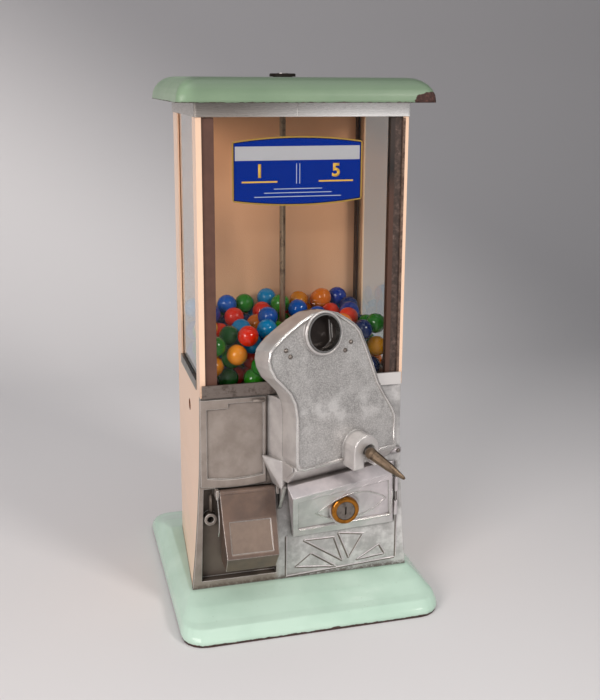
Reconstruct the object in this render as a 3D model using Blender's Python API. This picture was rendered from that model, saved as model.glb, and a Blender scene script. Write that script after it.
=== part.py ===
# A counter-top gumball vending machine: a domed enamelled base, a sheet steel
# cabinet glazed on three sides, a cast aluminium front with a leaning coin
# housing, a gum wheel turned by the handle through a pinion and a crown gear,
# a lift-up flap, a cash door and a lift-off lid.
# Origin at the centre of the base's underside, +Z up, the front faces -Y.
import bpy
import bmesh
import numpy as np
from math import asin, atan2, cos, hypot, pi, radians, sin, sqrt, tan
from mathutils import Matrix, Vector

# Shared sizes, metres
GAP = 0.0003
OVERRUN = 0.012
SHEET = 0.0015
HALF_TURN = pi
FULL_TURN = 2 * pi

# Base
BASE_WIDTH = 0.2005
BASE_DEPTH = 0.218
BASE_HEIGHT = 0.0202
BASE_WALL = 0.003
BASE_SHOULDER = 0.0113
BASE_EDGE = 0.004
BASE_CORNER = 0.018
BASE_TUCK = 0.0012
BASE_ROUND_SHARES = ((0.0, 0.0), (0.03, 0.6), (0.14, 1.0), (0.3, 1.13), (0.62, 1.52))
SEAT_MARGIN = 0.0018
RIM_CORNER = 0.003

# Cabinet
CABINET_WIDTH = 0.1565
CABINET_FRONT = -0.0617
CABINET_BACK = 0.0503
CABINET_TOP = 0.3762
FLARE = 0.008
POST_FLANGE = 0.004
FRONT_POST = 0.015
BACK_POST = 0.020
SIDE_SILL = 0.1755
BOW_STEPS = 6
FLARE_STEPS = 5
SIDE_HOLE_Y = -0.0102
SIDE_HOLE_Z = 0.1527
SIDE_HOLE_RADIUS = 0.004

# Cornice and lid
CORNICE_HEIGHT = 0.0097
CORNICE_PROUD = 0.001
CORNICE_DEPTH = 0.0063
CORNICE_CORNER = 0.002
LID_RISE = 0.0172
LID_SIDE_OVERHANG = 0.0152
LID_FRONT_OVERHANG = 0.018
LID_BACK_OVERHANG = 0.0143
LID_CORNER = 0.006
LID_EDGE = 0.0012
LID_ROUND = 0.0155
LID_SHEET = 0.0013
LID_LEDGE = 0.0225
LID_CORNER_SHARE = 0.3
LID_STEPS = 6

# Lid lock, on the tie rod's axis
LID_LOCK_HEAD_RADIUS = 0.010
LID_LOCK_HEAD = 0.0024
LID_LOCK_BODY_RADIUS = 0.0075
LID_LOCK_BODY = 0.010
LID_LOCK_PLUG_RADIUS = 0.0045
LID_LOCK_PLUG_PROUD = 0.0003
LID_CAM_LENGTH = 0.013
LID_CAM_WIDTH = 0.007
LID_CAM_THICKNESS = 0.002

# Tie rod
ROD_Y = 0.005
ROD_RADIUS = 0.0024
ROD_BOSS_RADIUS = 0.012
ROD_FOOT = 0.005
ROD_NUT_RADIUS = 0.0052
ROD_NUT_HEIGHT = 0.004
ROD_FIT = 0.0003
ROD_STRAP_WIDTH = 0.012
ROD_STRAP_THICKNESS = 0.002
ROD_STRAP_DROP = 0.0075
ROD_PROUD = 0.0004

# Glazing
GLASS = 0.0028
CHANNEL_WIDTH = 0.0112
CHANNEL_SHEET = 0.0015
CHANNEL_SLACK = 0.0002
SIDE_GLASS = 0.0025
RAIL_HEIGHT = 0.0072
RAIL_THICKNESS = 0.0037
RAIL_PROUD = 0.00065
SILL_BOTTOM = 0.1739
SILL_HEIGHT = 0.0095
SILL_THICKNESS = 0.0016
SILL_HALF_LENGTH = 0.077
SILL_LEG = 0.010

# Label inside the front glass
LABEL_LEFT = -0.052
LABEL_RIGHT = 0.0455
LABEL_BOTTOM = 0.3158
LABEL_TOP = 0.3595
LABEL_THICKNESS = 0.0002
LABEL_BOW = 0.0041

# Hopper pan, wheel plate and gum wheel
PAN_SHEET = 0.0015
PAN_RIM_TOP = 0.1785
PAN_RIM_WIDTH = 0.0045
PAN_WELL_TOP = 0.165
WELL_FIT = 0.0006
PAN_STEPS = 40
WHEEL_RADIUS = 0.041
WHEEL_TOP = 0.1643
WHEEL_HEIGHT = 0.016
POCKET_RADIUS = 0.00875
POCKET_PITCH_RADIUS = 0.0312
POCKETS = 5
DROP_ANGLE = radians(225)
PLATE_THICKNESS = 0.0025
PLATE_RADIUS = 0.0432
PLATE_STRAP = 0.028
DROP_HOLE_RADIUS = 0.0095
HUB_RADIUS = 0.007
HUB_FIT = 0.0005
GUARD_INNER_RADIUS = 0.020
GUARD_OUTER_RADIUS = 0.0424
GUARD_HALF_ANGLE = radians(22)
GUARD_LIFT = 0.0013
GUARD_THICKNESS = 0.0014

# Gearing between the handle and the gum wheel
PINION_TEETH = 6
CROWN_TEETH = 30
PINION_LENGTH = 0.005
ADDENDUM_SHARE = 0.7
DEDENDUM_SHARE = 1.05
ROOT_SHARE = 0.95
PINION_ROOT_SHARE = 0.25
PINION_TIP_SHARE = 0.1
CROWN_ROOT_SHARE = 0.3
CROWN_TIP_SHARE = 0.1
CROWN_DISC = 0.0032
CROWN_WEB_SHARE = 0.4
CROWN_SLACK = 0.0012

# Coin housing: its own frame runs along the face, s to the right and d into the machine
HOUSING_X = -0.0143
HOUSING_Y = -0.0964
HOUSING_YAW = radians(18)
HOUSING_LEAN = radians(7)
HOUSING_BOTTOM = 0.1227
HOUSING_WIDTH = 0.092
HOUSING_HEIGHT = 0.1164
HOUSING_BEND = 0.1645
HOUSING_DEPTH = 0.0195
HOUSING_RIM = 0.003
HOUSING_FIELD = 0.0008
HOUSING_WALL = 0.003
HOUSING_STEP = 0.001
HOUSING_BOX_TOP = 0.1729
HEAD_CLEARANCE = 0.0006
BOX_FLARE = 0.0028
BEND_SHARE = 0.3591
# (along the width, up the height), counter-clockwise from the lower left corner
HOUSING_OUTLINE_SHARES = (
    (0.0, 0.063), (0.018, 0.02), (0.072, 0.0), (1.0, 0.017), (0.989, 0.248),
    (0.955, 0.305), (0.912, BEND_SHARE), (0.875, 0.405), (0.818, 0.491), (0.766, 0.618),
    (0.715, 0.735), (0.663, 0.841), (0.62, 0.88), (0.558, 0.92), (0.446, 0.975),
    (0.352, 0.997), (0.276, 1.0), (0.209, 0.991), (0.085, 0.951), (-0.059, 0.887),
    (-0.153, 0.836), (-0.201, 0.799), (-0.22, 0.744), (-0.212, 0.691), (-0.173, 0.625),
    (-0.107, 0.57), (-0.048, 0.516), (-0.009, 0.449), (0.0, BEND_SHARE),
)
SHOULDER_CORNER = 4
BEND_CORNER = 6
WAIST_CORNER = 7
CHIN_BOTTOM = 0.1108
CHIN_DEPTH = 0.012
CHIN_WALL_RISE = 0.0035
CHIN_FLOOR = 0.0018

# Corbel under the housing's left corner
CORBEL_LEFT = -0.0325
CORBEL_MIDDLE = -0.0242
CORBEL_RIGHT = -0.0165
CORBEL_EDGE_X = -0.0206
CORBEL_EDGE_Y = -0.077
CORBEL_TAIL_X = -0.0193
CORBEL_TAIL_Z = 0.0795
CORBEL_NOSE_X = -0.0158
CORBEL_NOSE_Y = -0.0925
CORBEL_CHEEK_Z = 0.108

# Coin entry
ENTRY_ACROSS_SHARE = 0.2946
ENTRY_UP_SHARE = 0.8625
ENTRY_BORE_RADIUS = 0.012
ENTRY_MOUTH_RADIUS = 0.0132
ENTRY_RING_RADIUS = 0.0143
ENTRY_BOSS_RADIUS = 0.0163
ENTRY_BOSS_HEIGHT = 0.0022
ENTRY_RING_PROUD = 0.0006
COIN_CHANNEL_START = 0.0045
COIN_CHANNEL_DEPTH = 0.005
COIN_CHANNEL_WIDTH = 0.0245

# Handle and its hood
HANDLE_S = 0.053
HANDLE_Z = 0.1335
HOOD_HALF_WIDTH = 0.0113
HOOD_BOTTOM = 0.1205
HOOD_DEPTH = 0.014
HOOD_SLOT_S = 0.0556
HOOD_SLOT_RADIUS = 0.005
HOOD_SLOT_DEPTH = 0.010
HOOD_ARCH_STEPS = 8
SHAFT_RADIUS = 0.0032
SHAFT_FIT = 0.0003
SHAFT_SHOULDER = 0.0024
BUSH_RADIUS = 0.0055
BUSH_SETBACK = 0.0015
BUSH_LENGTH = 0.0065
HUB_BALL_RADIUS = 0.0046
HUB_BALL_OUT = 0.019
LEVER_REACH = 0.0213
LEVER_DIRECTION = radians(-46.5)
LEVER_TIP_OUT = 0.041
LEVER_ROOT_RADIUS = 0.0043
LEVER_TIP_RADIUS = 0.0014
LEVER_SIDES = 10
LEVER_WAIST_SHARE = 0.55
LEVER_TAPER_SHARE = 0.34
HUB_BALL_STEPS = 6
COIN_WHEEL_CLEARANCE = 0.0004
COIN_WHEEL_DEPTH = 0.0135
COIN_WHEEL_THICKNESS = 0.003
COIN_NOTCH_RADIUS = 0.0108
COIN_NOTCH_REACH = 0.0165
JOURNAL_RADIUS = 0.0016
PINION_BORE_FIT = 0.0003
BRACKET_OUT = 0.0065
BRACKET_THICKNESS = 0.005
BRACKET_WIDTH = 0.013
BRACKET_BELOW = 0.0065

# Coin slide
SLIDE_LEFT = 0.0135
SLIDE_RIGHT = 0.031
SLIDE_HIGH = 0.150
SLIDE_LOW = 0.140
SLIDE_SHEET = 0.0015
SLIDE_DEPTH = 0.006
SLIDE_START = 0.0145

# Cast front
CASTING_SETBACK = 0.00155
CASTING_TOP = 0.1735
CASTING_WALL = 0.0035
BAY_DEPTH = 0.007
BAY_WALL = 0.003
BAY_LEFT_TOP = -0.0766
BAY_LEFT_BOTTOM = -0.079
BAY_RIGHT = -0.0205
BAY_TOP = 0.1015
BAY_BOTTOM = 0.0265
BAY_SHELL = 0.0017
PLATE_LEFT = -0.0786
PLATE_RIGHT = -0.0293
PLATE_BOTTOM = 0.1042
PLATE_TOP = 0.1719
PLATE_PROUD = 0.0018
PLATE_BOW = 0.002
FIELD_LEFT = -0.0738
FIELD_RIGHT = -0.0308
FIELD_BOTTOM = 0.1105
FIELD_STEP_X = -0.0575
FIELD_STEP_Z = 0.1645
FIELD_TOP = 0.1682
FIELD_DEPTH = 0.0016
MOUTH_LEFT = -0.0605
MOUTH_RIGHT = -0.0285
MOUTH_BOTTOM = 0.0535
MOUTH_TOP = 0.0945
LUG_X = -0.0716
LUG_Z = 0.0768
LUG_RADIUS = 0.0047
LUG_HOLE_RADIUS = 0.0026
WORKS_LEFT = 0.006
WORKS_RIGHT = 0.056
WORKS_BOTTOM = 0.1135
WORKS_TOP = 0.166
CASH_OPENING_LEFT = -0.004
CASH_OPENING_RIGHT = 0.066
CASH_OPENING_BOTTOM = 0.064
CASH_OPENING_TOP = 0.104

# Flap over the delivery mouth: (proud of the cast front, height)
FLAP_LEFT = -0.0655
FLAP_RIGHT = -0.0228
FLAP_TAPER = 0.0022
FLAP_WALL = 0.0022
FLAP_PIVOT_PROUD = 0.0034
FLAP_PIVOT_Z = 0.0985
FLAP_PIN_RADIUS = 0.0013
FLAP_KNUCKLE_RADIUS = 0.003
FLAP_RIB_PROUD = 0.0132
FLAP_RIB_Z = 0.081
FLAP_NOSE_PROUD = 0.026
FLAP_NOSE_Z = 0.0552
FLAP_FOOT_PROUD = 0.0165
FLAP_FOOT_Z = 0.0412
FLAP_TOP_PROUD = 0.0052
FLAP_TOP_Z = 0.1008
FLAP_TUCK = 0.0025
FLAP_PANEL_MARGIN = 0.0035
FLAP_PANEL_DEPTH = 0.0006
FLAP_LUG_WIDTH = 0.0022
FLAP_LUG_HEIGHT = 0.007

# Cash door, a twisted wedge: level crease in the housing's face, lower edge by the casting
DOOR_CREASE_LEFT_S = -0.0029
DOOR_CREASE_RIGHT_S = 0.0885
DOOR_CREASE_Z = 0.1033
DOOR_TOP_Z = 0.1102
DOOR_TOP_SETBACK = 0.0075
DOOR_FOOT_LEFT_X = -0.0079
DOOR_FOOT_RIGHT_X = 0.0738
DOOR_FOOT_LEFT_Z = 0.0562
DOOR_FOOT_RIGHT_Z = 0.0594
DOOR_FOOT_PROUD = 0.0025
DOOR_BACK_LEFT_X = -0.0118
DOOR_BACK_RIGHT_X = 0.0752
DOOR_WALL = 0.003
DOOR_SECTIONS = 7
DOOR_PANEL_SHARES = (0.05, 0.965, 0.18, 0.88)
DOOR_PANEL_DEPTH = 0.0008
DOOR_HOLLOW_SHARES = (0.05, 0.28, 0.5, 0.72, 0.9)
DOOR_PIVOT_X = 0.0756
DOOR_PIVOT_PROUD = 0.0021
DOOR_PIN_RADIUS = 0.0008
DOOR_KNUCKLE_RADIUS = 0.0018
DOOR_KNUCKLE_LENGTH = 0.012
DOOR_LEAF = 0.008
DOOR_LEAF_SHEET = 0.0014

# Cash lock
CASH_LOCK_X = 0.0294
CASH_LOCK_Z = 0.0807
CASH_LOCK_FRONT = -0.079
CASH_LOCK_HEAD_RADIUS = 0.0109
CASH_LOCK_HEAD = 0.003
CASH_LOCK_BODY_RADIUS = 0.0088
CASH_LOCK_BODY = 0.011
CASH_LOCK_PLUG_RADIUS = 0.0072
CASH_LOCK_BOSS_RADIUS = 0.012
CASH_LOCK_BOSS_SHARE = 0.75
CASH_KEYWAY_WIDTH = 0.0013
CASH_KEYWAY_HEIGHT = 0.0065
CASH_KEYWAY_DEPTH = 0.003
CASH_CAM_LENGTH = 0.014
CASH_CAM_WIDTH = 0.006
CASH_CAM_THICKNESS = 0.0015

# Cash box and delivery chute
BOX_LEFT = 0.008
BOX_RIGHT = 0.070
BOX_FRONT = -0.050
BOX_BACK = 0.042
BOX_TOP = 0.092
BOX_WALL = 0.0012
CHUTE_RADIUS = 0.0092
CHUTE_WALL = 0.001
CHUTE_KNEE_SHARE = 0.2
CHUTE_DROP_SHARE = 0.82
CHUTE_STEPS = 5
CHUTE_END_X = -0.0445
CHUTE_END_Z = 0.071
CHUTE_START_LENGTH = 0.006

# Gumballs
BALL_RADIUS = 0.008
BALL_CLEARANCE = 0.0003
BALLS = 178
BALL_SEED = 11
BALL_TRIES = 260
PILE_FRONT_TOP = 0.222
PILE_BACK_TOP = 0.238
HEAP_TOP_SHARE = 1.5

# Places worked out from the sizes above
CABINET_HALF = CABINET_WIDTH / 2
CASTING_FRONT = CABINET_FRONT + CASTING_SETBACK
CASTING_BACK = CASTING_FRONT + CASTING_WALL
CASTING_BOTTOM = BASE_HEIGHT + GAP
PAN_HALF = CABINET_HALF - SHEET - GAP
CHANNEL_FRONT = CABINET_FRONT + SHEET + GAP
GLASS_FRONT = CHANNEL_FRONT + CHANNEL_SHEET + GAP
GLASS_BACK = GLASS_FRONT + GLASS
CHANNEL_BACK = GLASS_BACK + GAP + CHANNEL_SHEET
PANE_BOTTOM = PAN_RIM_TOP + GAP
PANE_TOP = CABINET_TOP - CHANNEL_SLACK
CORNICE_BOTTOM = CABINET_TOP + GAP
CORNICE_TOP = CORNICE_BOTTOM + CORNICE_HEIGHT
LID_BOTTOM = CORNICE_TOP + GAP
LID_TOP = LID_BOTTOM + LID_RISE
WHEEL_BOTTOM = WHEEL_TOP - WHEEL_HEIGHT
PLATE_TOP_Z = WHEEL_BOTTOM - GAP
PLATE_BOTTOM_Z = PLATE_TOP_Z - PLATE_THICKNESS
WELL_RADIUS = WHEEL_RADIUS + WELL_FIT
ROD_AXIS = Vector((0, ROD_Y, 0))
ENTRY_S = HOUSING_WIDTH * ENTRY_ACROSS_SHARE
ENTRY_Z = HOUSING_BOTTOM + HOUSING_HEIGHT * ENTRY_UP_SHARE
HOLLOW_RIGHT = HOUSING_WIDTH - HOUSING_DEPTH + HOUSING_STEP
COIN_WHEEL_RADIUS = HOLLOW_RIGHT - HANDLE_S - COIN_WHEEL_CLEARANCE


# Basic forms

def material(name, colour, roughness, metallic):
    made = bpy.data.materials.new(name)
    made.use_nodes = True
    shader = made.node_tree.nodes["Principled BSDF"]
    shader.inputs["Base Color"].default_value = (*colour, 1)
    shader.inputs["Roughness"].default_value = roughness
    shader.inputs["Metallic"].default_value = metallic
    made.diffuse_color = (*colour, 1)
    return made


def piece(name, form, finish, parent=None, place=None, smooth=radians(35)):
    bmesh.ops.recalc_face_normals(form, faces=form.faces)
    mesh = bpy.data.meshes.new(name)
    form.to_mesh(mesh)
    form.free()
    mesh.shade_smooth()
    mesh.set_sharp_from_angle(angle=smooth)
    if finish:
        mesh.materials.append(finish)
    made = bpy.data.objects.new(name, mesh)
    bpy.context.scene.collection.objects.link(made)
    made.parent = parent
    if place:
        made.matrix_local = place
    return made


def frame(name, place, parent=None):
    made = bpy.data.objects.new(name, None)
    bpy.context.scene.collection.objects.link(made)
    made.parent = parent
    made.matrix_local = place
    return made


def combine(target, form, operation):
    tool = piece(f"{target.name}_{operation.lower()}_{len(target.modifiers)}", form, None, target)
    tool.hide_render = True
    tool.display_type = "WIRE"
    change = target.modifiers.new(tool.name, "BOOLEAN")
    change.operation = operation
    change.object = tool
    # Pieces with twisted faces are joined and cut by the second solver, all else by the exact one
    change.solver = target.get("solver", "EXACT")


def cut(target, form):
    combine(target, form, "DIFFERENCE")


def join(target, form):
    combine(target, form, "UNION")


def box(form, low, high, place=None):
    size = [upper - lower for lower, upper in zip(low, high)]
    middle = [(lower + upper) / 2 for lower, upper in zip(low, high)]
    shape = Matrix.Translation(middle) @ Matrix.Diagonal((*size, 1))
    bmesh.ops.create_cube(form, size=1, matrix=(place or Matrix()) @ shape)
    return form


def prism(form, outline, place, depth):
    # The outline lies in the plane of the place and is extruded along its Z.
    corners = [form.verts.new(place @ Vector((across, up, 0))) for across, up in outline]
    face = form.faces.new(corners)
    grown = bmesh.ops.extrude_face_region(form, geom=[face])["geom"]
    moved = [item for item in grown if isinstance(item, bmesh.types.BMVert)]
    along = place.to_3x3() @ Vector((0, 0, depth))
    bmesh.ops.translate(form, verts=moved, vec=along)
    return form


def loft(form, rings, closed=False):
    loops = [[form.verts.new(point) for point in ring] for ring in rings]
    pairs = list(zip(loops, loops[1:]))
    if closed:
        pairs.append((loops[-1], loops[0]))
    for lower, upper in pairs:
        for index, corner in enumerate(lower):
            following = (index + 1) % len(lower)
            form.faces.new((corner, lower[following], upper[following], upper[index]))
    if not closed:
        form.faces.new(loops[0])
        form.faces.new(loops[-1])
    return form


def turned(form, profile, steps, place=None, closed=False):
    # The profile is (radius, height) round the Z axis of the place.
    place = place or Matrix()
    corners = [form.verts.new(place @ Vector((radius, 0, height))) for radius, height in profile]
    edges = [form.edges.new(pair) for pair in zip(corners, corners[1:])]
    if closed:
        edges.append(form.edges.new((corners[-1], corners[0])))
    axis = place.to_3x3() @ Vector((0, 0, 1))
    centre = place.to_translation()
    bmesh.ops.spin(form, geom=corners + edges, cent=centre, axis=axis, angle=FULL_TURN,
                   steps=steps, use_merge=True, use_duplicate=False)
    bmesh.ops.remove_doubles(form, verts=form.verts, dist=GAP / steps)
    return form


def tube(form, outer, inner, low, high, steps, place=None):
    return turned(form, [(outer, low), (outer, high), (inner, high), (inner, low)], steps, place, True)


def rod(form, radius, low, high, steps, place=None):
    return turned(form, [(0, low), (radius, low), (radius, high), (0, high)], steps, place)


def rounded_rectangle(low, high, radius, steps, height):
    points = []
    corners = ((high[0], high[1]), (low[0], high[1]), (low[0], low[1]), (high[0], low[1]))
    inward = ((-1, -1), (1, -1), (1, 1), (-1, 1))
    for quarter, (corner, side) in enumerate(zip(corners, inward)):
        middle = (corner[0] + side[0] * radius, corner[1] + side[1] * radius)
        for step in range(steps + 1):
            angle = (quarter + step / steps) * HALF_TURN / 2
            around = (radius * cos(angle), radius * sin(angle))
            points.append(Vector((middle[0] + around[0], middle[1] + around[1], height)))
    return points


def arc(centre, radius, start, end, steps):
    angles = [start + (end - start) * step / steps for step in range(steps + 1)]
    return [(centre[0] + radius * cos(angle), centre[1] + radius * sin(angle)) for angle in angles]


def mix(start, end, share):
    return start + (end - start) * share


FRONT_VIEW = Matrix(((1, 0, 0, 0), (0, 0, -1, 0), (0, 1, 0, 0), (0, 0, 0, 1)))


def front_plane(y):
    # Outlines in x and z, extruded towards the front when the depth is positive.
    return Matrix.Translation((0, y, 0)) @ FRONT_VIEW


def side_plane(x):
    # Outlines in y and z, extruded towards the right when the depth is positive.
    turn = Matrix(((0, 0, 1, 0), (1, 0, 0, 0), (0, 1, 0, 0), (0, 0, 0, 1)))
    return Matrix.Translation((x, 0, 0)) @ turn


def level_plane(z):
    return Matrix.Translation((0, 0, z))


# Finishes, from the photographed colours

def make_finishes():
    return {
        "mint_enamel": material("mint_enamel", (0.46, 0.64, 0.53), 0.18, 0.0),
        "peach_enamel": material("peach_enamel", (0.79, 0.58, 0.43), 0.3, 0.0),
        "cast_aluminium": material("cast_aluminium", (0.42, 0.41, 0.4), 0.42, 1.0),
        "dull_casting": material("dull_casting", (0.24, 0.2, 0.17), 0.5, 1.0),
        "rolled_steel": material("rolled_steel", (0.45, 0.44, 0.43), 0.35, 1.0),
        "galvanised": material("galvanised", (0.32, 0.31, 0.3), 0.5, 1.0),
        "rusty_channel": material("rusty_channel", (0.1, 0.05, 0.035), 0.75, 0.0),
        "clear_glass": material("clear_glass", (0.95, 0.97, 0.96), 0.02, 0.0),
        "printed_film": material("printed_film", (0.03, 0.08, 0.4), 0.35, 0.0),
        "machined_steel": material("machined_steel", (0.4, 0.4, 0.41), 0.3, 1.0),
        "lever_bronze": material("lever_bronze", (0.16, 0.12, 0.085), 0.45, 1.0),
        "lock_brass": material("lock_brass", (0.56, 0.34, 0.1), 0.28, 1.0),
        "lock_black": material("lock_black", (0.01, 0.01, 0.011), 0.3, 0.0),
        "bearing_bronze": material("bearing_bronze", (0.5, 0.33, 0.16), 0.4, 1.0),
        "gum_coating": material("gum_coating", (0.75, 0.4, 0.05), 0.12, 0.0),
    }


# Base

def base_rings(inset, low_z):
    # Rings of the domed slab from its rim up to the flat seat under the cabinet.
    half = (BASE_WIDTH / 2, BASE_DEPTH / 2)
    seat_half = CABINET_HALF + FLARE + SEAT_MARGIN
    seat_low = (-seat_half, CABINET_FRONT - SEAT_MARGIN)
    seat_high = (seat_half, CABINET_BACK + SEAT_MARGIN)
    rings = []
    for share, rise in BASE_ROUND_SHARES:
        low = [mix(-side, seat, share) for side, seat in zip(half, seat_low)]
        high = [mix(side, seat, share) for side, seat in zip(half, seat_high)]
        low = [value + inset for value in low]
        high = [value - inset for value in high]
        corner = mix(BASE_CORNER, RIM_CORNER, share)
        height = max(BASE_EDGE, BASE_SHOULDER * rise) - inset
        rings.append(rounded_rectangle(low, high, corner, 5, height))
    top_low = [value + inset for value in seat_low]
    top_high = [value - inset for value in seat_high]
    rings.append(rounded_rectangle(top_low, top_high, RIM_CORNER, 5, BASE_HEIGHT - inset))
    edge = BASE_TUCK + inset
    foot_low = (-half[0] + edge, -half[1] + edge)
    foot_high = (half[0] - edge, half[1] - edge)
    foot = rounded_rectangle(foot_low, foot_high, BASE_CORNER - BASE_TUCK, 5, low_z)
    return [foot] + rings


def make_base(finishes):
    outer = base_rings(0, 0)
    inner = base_rings(BASE_WALL, 0)
    form = loft(bmesh.new(), list(reversed(inner)) + outer)
    base = piece("base_pan", form, finishes["mint_enamel"])
    # The boss reaches down to the resting plane; the tie rod is screwed into it from above
    middle = Matrix.Translation(ROD_AXIS)
    join(base, rod(bmesh.new(), ROD_BOSS_RADIUS, 0, BASE_HEIGHT - BASE_WALL / 2, 24, middle))
    cut(base, rod(bmesh.new(), ROD_RADIUS + ROD_FIT, ROD_FOOT, BASE_HEIGHT + OVERRUN, 16, middle))
    return base


# Cabinet

def flare_at(height):
    share = max(CASTING_TOP - height, 0) / (CASTING_TOP - BASE_HEIGHT)
    return FLARE * share ** 2


def cabinet_section(height):
    # The C-shaped plan of the sheet, flared at its front edges near the base.
    flare = flare_at(height)
    front = CABINET_HALF + flare
    right = [
        (front - POST_FLANGE, CABINET_FRONT), (front, CABINET_FRONT),
        (CABINET_HALF, CABINET_BACK),
    ]
    inner = [
        (CABINET_HALF - SHEET, CABINET_BACK - SHEET), (front - SHEET, CABINET_FRONT + SHEET),
        (front - POST_FLANGE, CABINET_FRONT + SHEET),
    ]
    outline = right + [(-x, y) for x, y in reversed(right)]
    outline += [(-x, y) for x, y in reversed(inner)] + inner
    return [Vector((x, y, height)) for x, y in outline]


def make_cabinet(finishes):
    low = BASE_HEIGHT + GAP
    levels = [mix(low, CASTING_TOP, step / FLARE_STEPS) for step in range(FLARE_STEPS + 1)]
    levels.append(CABINET_TOP)
    form = loft(bmesh.new(), [cabinet_section(level) for level in levels])
    shell = piece("cabinet_shell", form, finishes["peach_enamel"])
    reach = CABINET_HALF + FLARE + OVERRUN
    cutter = bmesh.new()
    box(cutter, (-reach, CABINET_FRONT - OVERRUN, low - OVERRUN),
        (reach, CASTING_BACK + GAP, CASTING_TOP + GAP))
    box(cutter, (-reach, CABINET_FRONT + FRONT_POST, SIDE_SILL),
        (reach, CABINET_BACK - BACK_POST, CABINET_TOP + OVERRUN))
    cut(shell, cutter)
    sideways = Matrix.Translation((0, SIDE_HOLE_Y, SIDE_HOLE_Z)) @ Matrix.Rotation(HALF_TURN / 2, 4, "Y")
    cut(shell, rod(bmesh.new(), SIDE_HOLE_RADIUS, -reach, 0, 14, sideways))
    return shell


def make_cornice(finishes):
    outer = CABINET_HALF + CORNICE_PROUD
    low = (-outer, CABINET_FRONT - CORNICE_PROUD)
    high = (outer, CABINET_BACK + CORNICE_PROUD)
    inner_low = [value + CORNICE_DEPTH for value in low]
    inner_high = [value - CORNICE_DEPTH for value in high]
    rings = [
        rounded_rectangle(inner_low, inner_high, CORNICE_CORNER, 4, CORNICE_BOTTOM),
        rounded_rectangle(low, high, CORNICE_CORNER, 4, CORNICE_BOTTOM),
        rounded_rectangle(low, high, CORNICE_CORNER, 4, CORNICE_TOP),
        rounded_rectangle(inner_low, inner_high, CORNICE_CORNER, 4, CORNICE_TOP),
    ]
    return piece("cornice_band", loft(bmesh.new(), rings, True), finishes["rolled_steel"])


# Lid and its lock

def lid_ring(inset, height):
    low = (-CABINET_HALF - LID_SIDE_OVERHANG + inset, CABINET_FRONT - LID_FRONT_OVERHANG + inset)
    high = (CABINET_HALF + LID_SIDE_OVERHANG - inset, CABINET_BACK + LID_BACK_OVERHANG - inset)
    corner = LID_CORNER + inset * LID_CORNER_SHARE
    return rounded_rectangle(low, high, corner, 4, height)


def lid_dome(thickness):
    rings = []
    for step in range(LID_STEPS + 1):
        angle = HALF_TURN / 2 * step / LID_STEPS
        inset = thickness + (LID_ROUND - thickness) * (1 - cos(angle))
        rise = (LID_RISE - LID_EDGE - thickness) * sin(angle)
        rings.append(lid_ring(inset, LID_BOTTOM + LID_EDGE + rise))
    return rings


def make_lid(finishes):
    inner = list(reversed(lid_dome(LID_SHEET)))
    ledge_height = LID_BOTTOM + LID_SHEET
    inner[-1] = lid_ring(LID_SHEET, ledge_height)
    ledge = [lid_ring(LID_LEDGE, ledge_height), lid_ring(LID_LEDGE, LID_BOTTOM)]
    outer = [lid_ring(0, LID_BOTTOM)] + lid_dome(0)
    lid = piece("lid", loft(bmesh.new(), inner + ledge + outer), finishes["mint_enamel"])
    hole = rod(bmesh.new(), LID_LOCK_BODY_RADIUS + GAP, LID_TOP - LID_ROUND, LID_TOP + OVERRUN, 20,
               Matrix.Translation(ROD_AXIS))
    cut(lid, hole)
    return lid


def make_lid_lock(finishes):
    seat = LID_TOP + GAP
    head_top = seat + LID_LOCK_HEAD
    foot = seat - LID_LOCK_BODY
    bore = LID_LOCK_PLUG_RADIUS + GAP
    axis = frame("lid_lock_axis", Matrix.Translation(ROD_AXIS))
    barrel = bmesh.new()
    edge = LID_LOCK_HEAD / 4
    turned(barrel, [
        (LID_LOCK_BODY_RADIUS, foot), (LID_LOCK_BODY_RADIUS, seat), (LID_LOCK_HEAD_RADIUS, seat),
        (LID_LOCK_HEAD_RADIUS, head_top - edge), (LID_LOCK_HEAD_RADIUS - edge, head_top),
        (bore, head_top), (bore, foot),
    ], 24, None, True)
    piece("lid_lock_barrel", barrel, finishes["lock_black"], axis)
    plug = rod(bmesh.new(), LID_LOCK_PLUG_RADIUS, foot, head_top + LID_LOCK_PLUG_PROUD, 16)
    made = piece("lid_lock_plug", plug, finishes["machined_steel"], axis)
    slot = CASH_KEYWAY_WIDTH / 2
    slit = box(bmesh.new(), (-LID_LOCK_PLUG_RADIUS / 2, -slot, head_top - LID_LOCK_HEAD / 2),
               (LID_LOCK_PLUG_RADIUS / 2, slot, head_top + OVERRUN))
    cut(made, slit)
    top = foot - GAP
    cam = box(bmesh.new(), (-LID_CAM_WIDTH / 2, -LID_CAM_WIDTH / 2, top - LID_CAM_THICKNESS),
              (LID_CAM_LENGTH, LID_CAM_WIDTH / 2, top))
    piece("lid_lock_cam", cam, finishes["machined_steel"], axis)


# Tie rod

def hexagon(radius, height):
    return [Vector((*point, height)) for point in arc((0, 0), radius, 0, FULL_TURN * 5 / 6, 5)]


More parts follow.
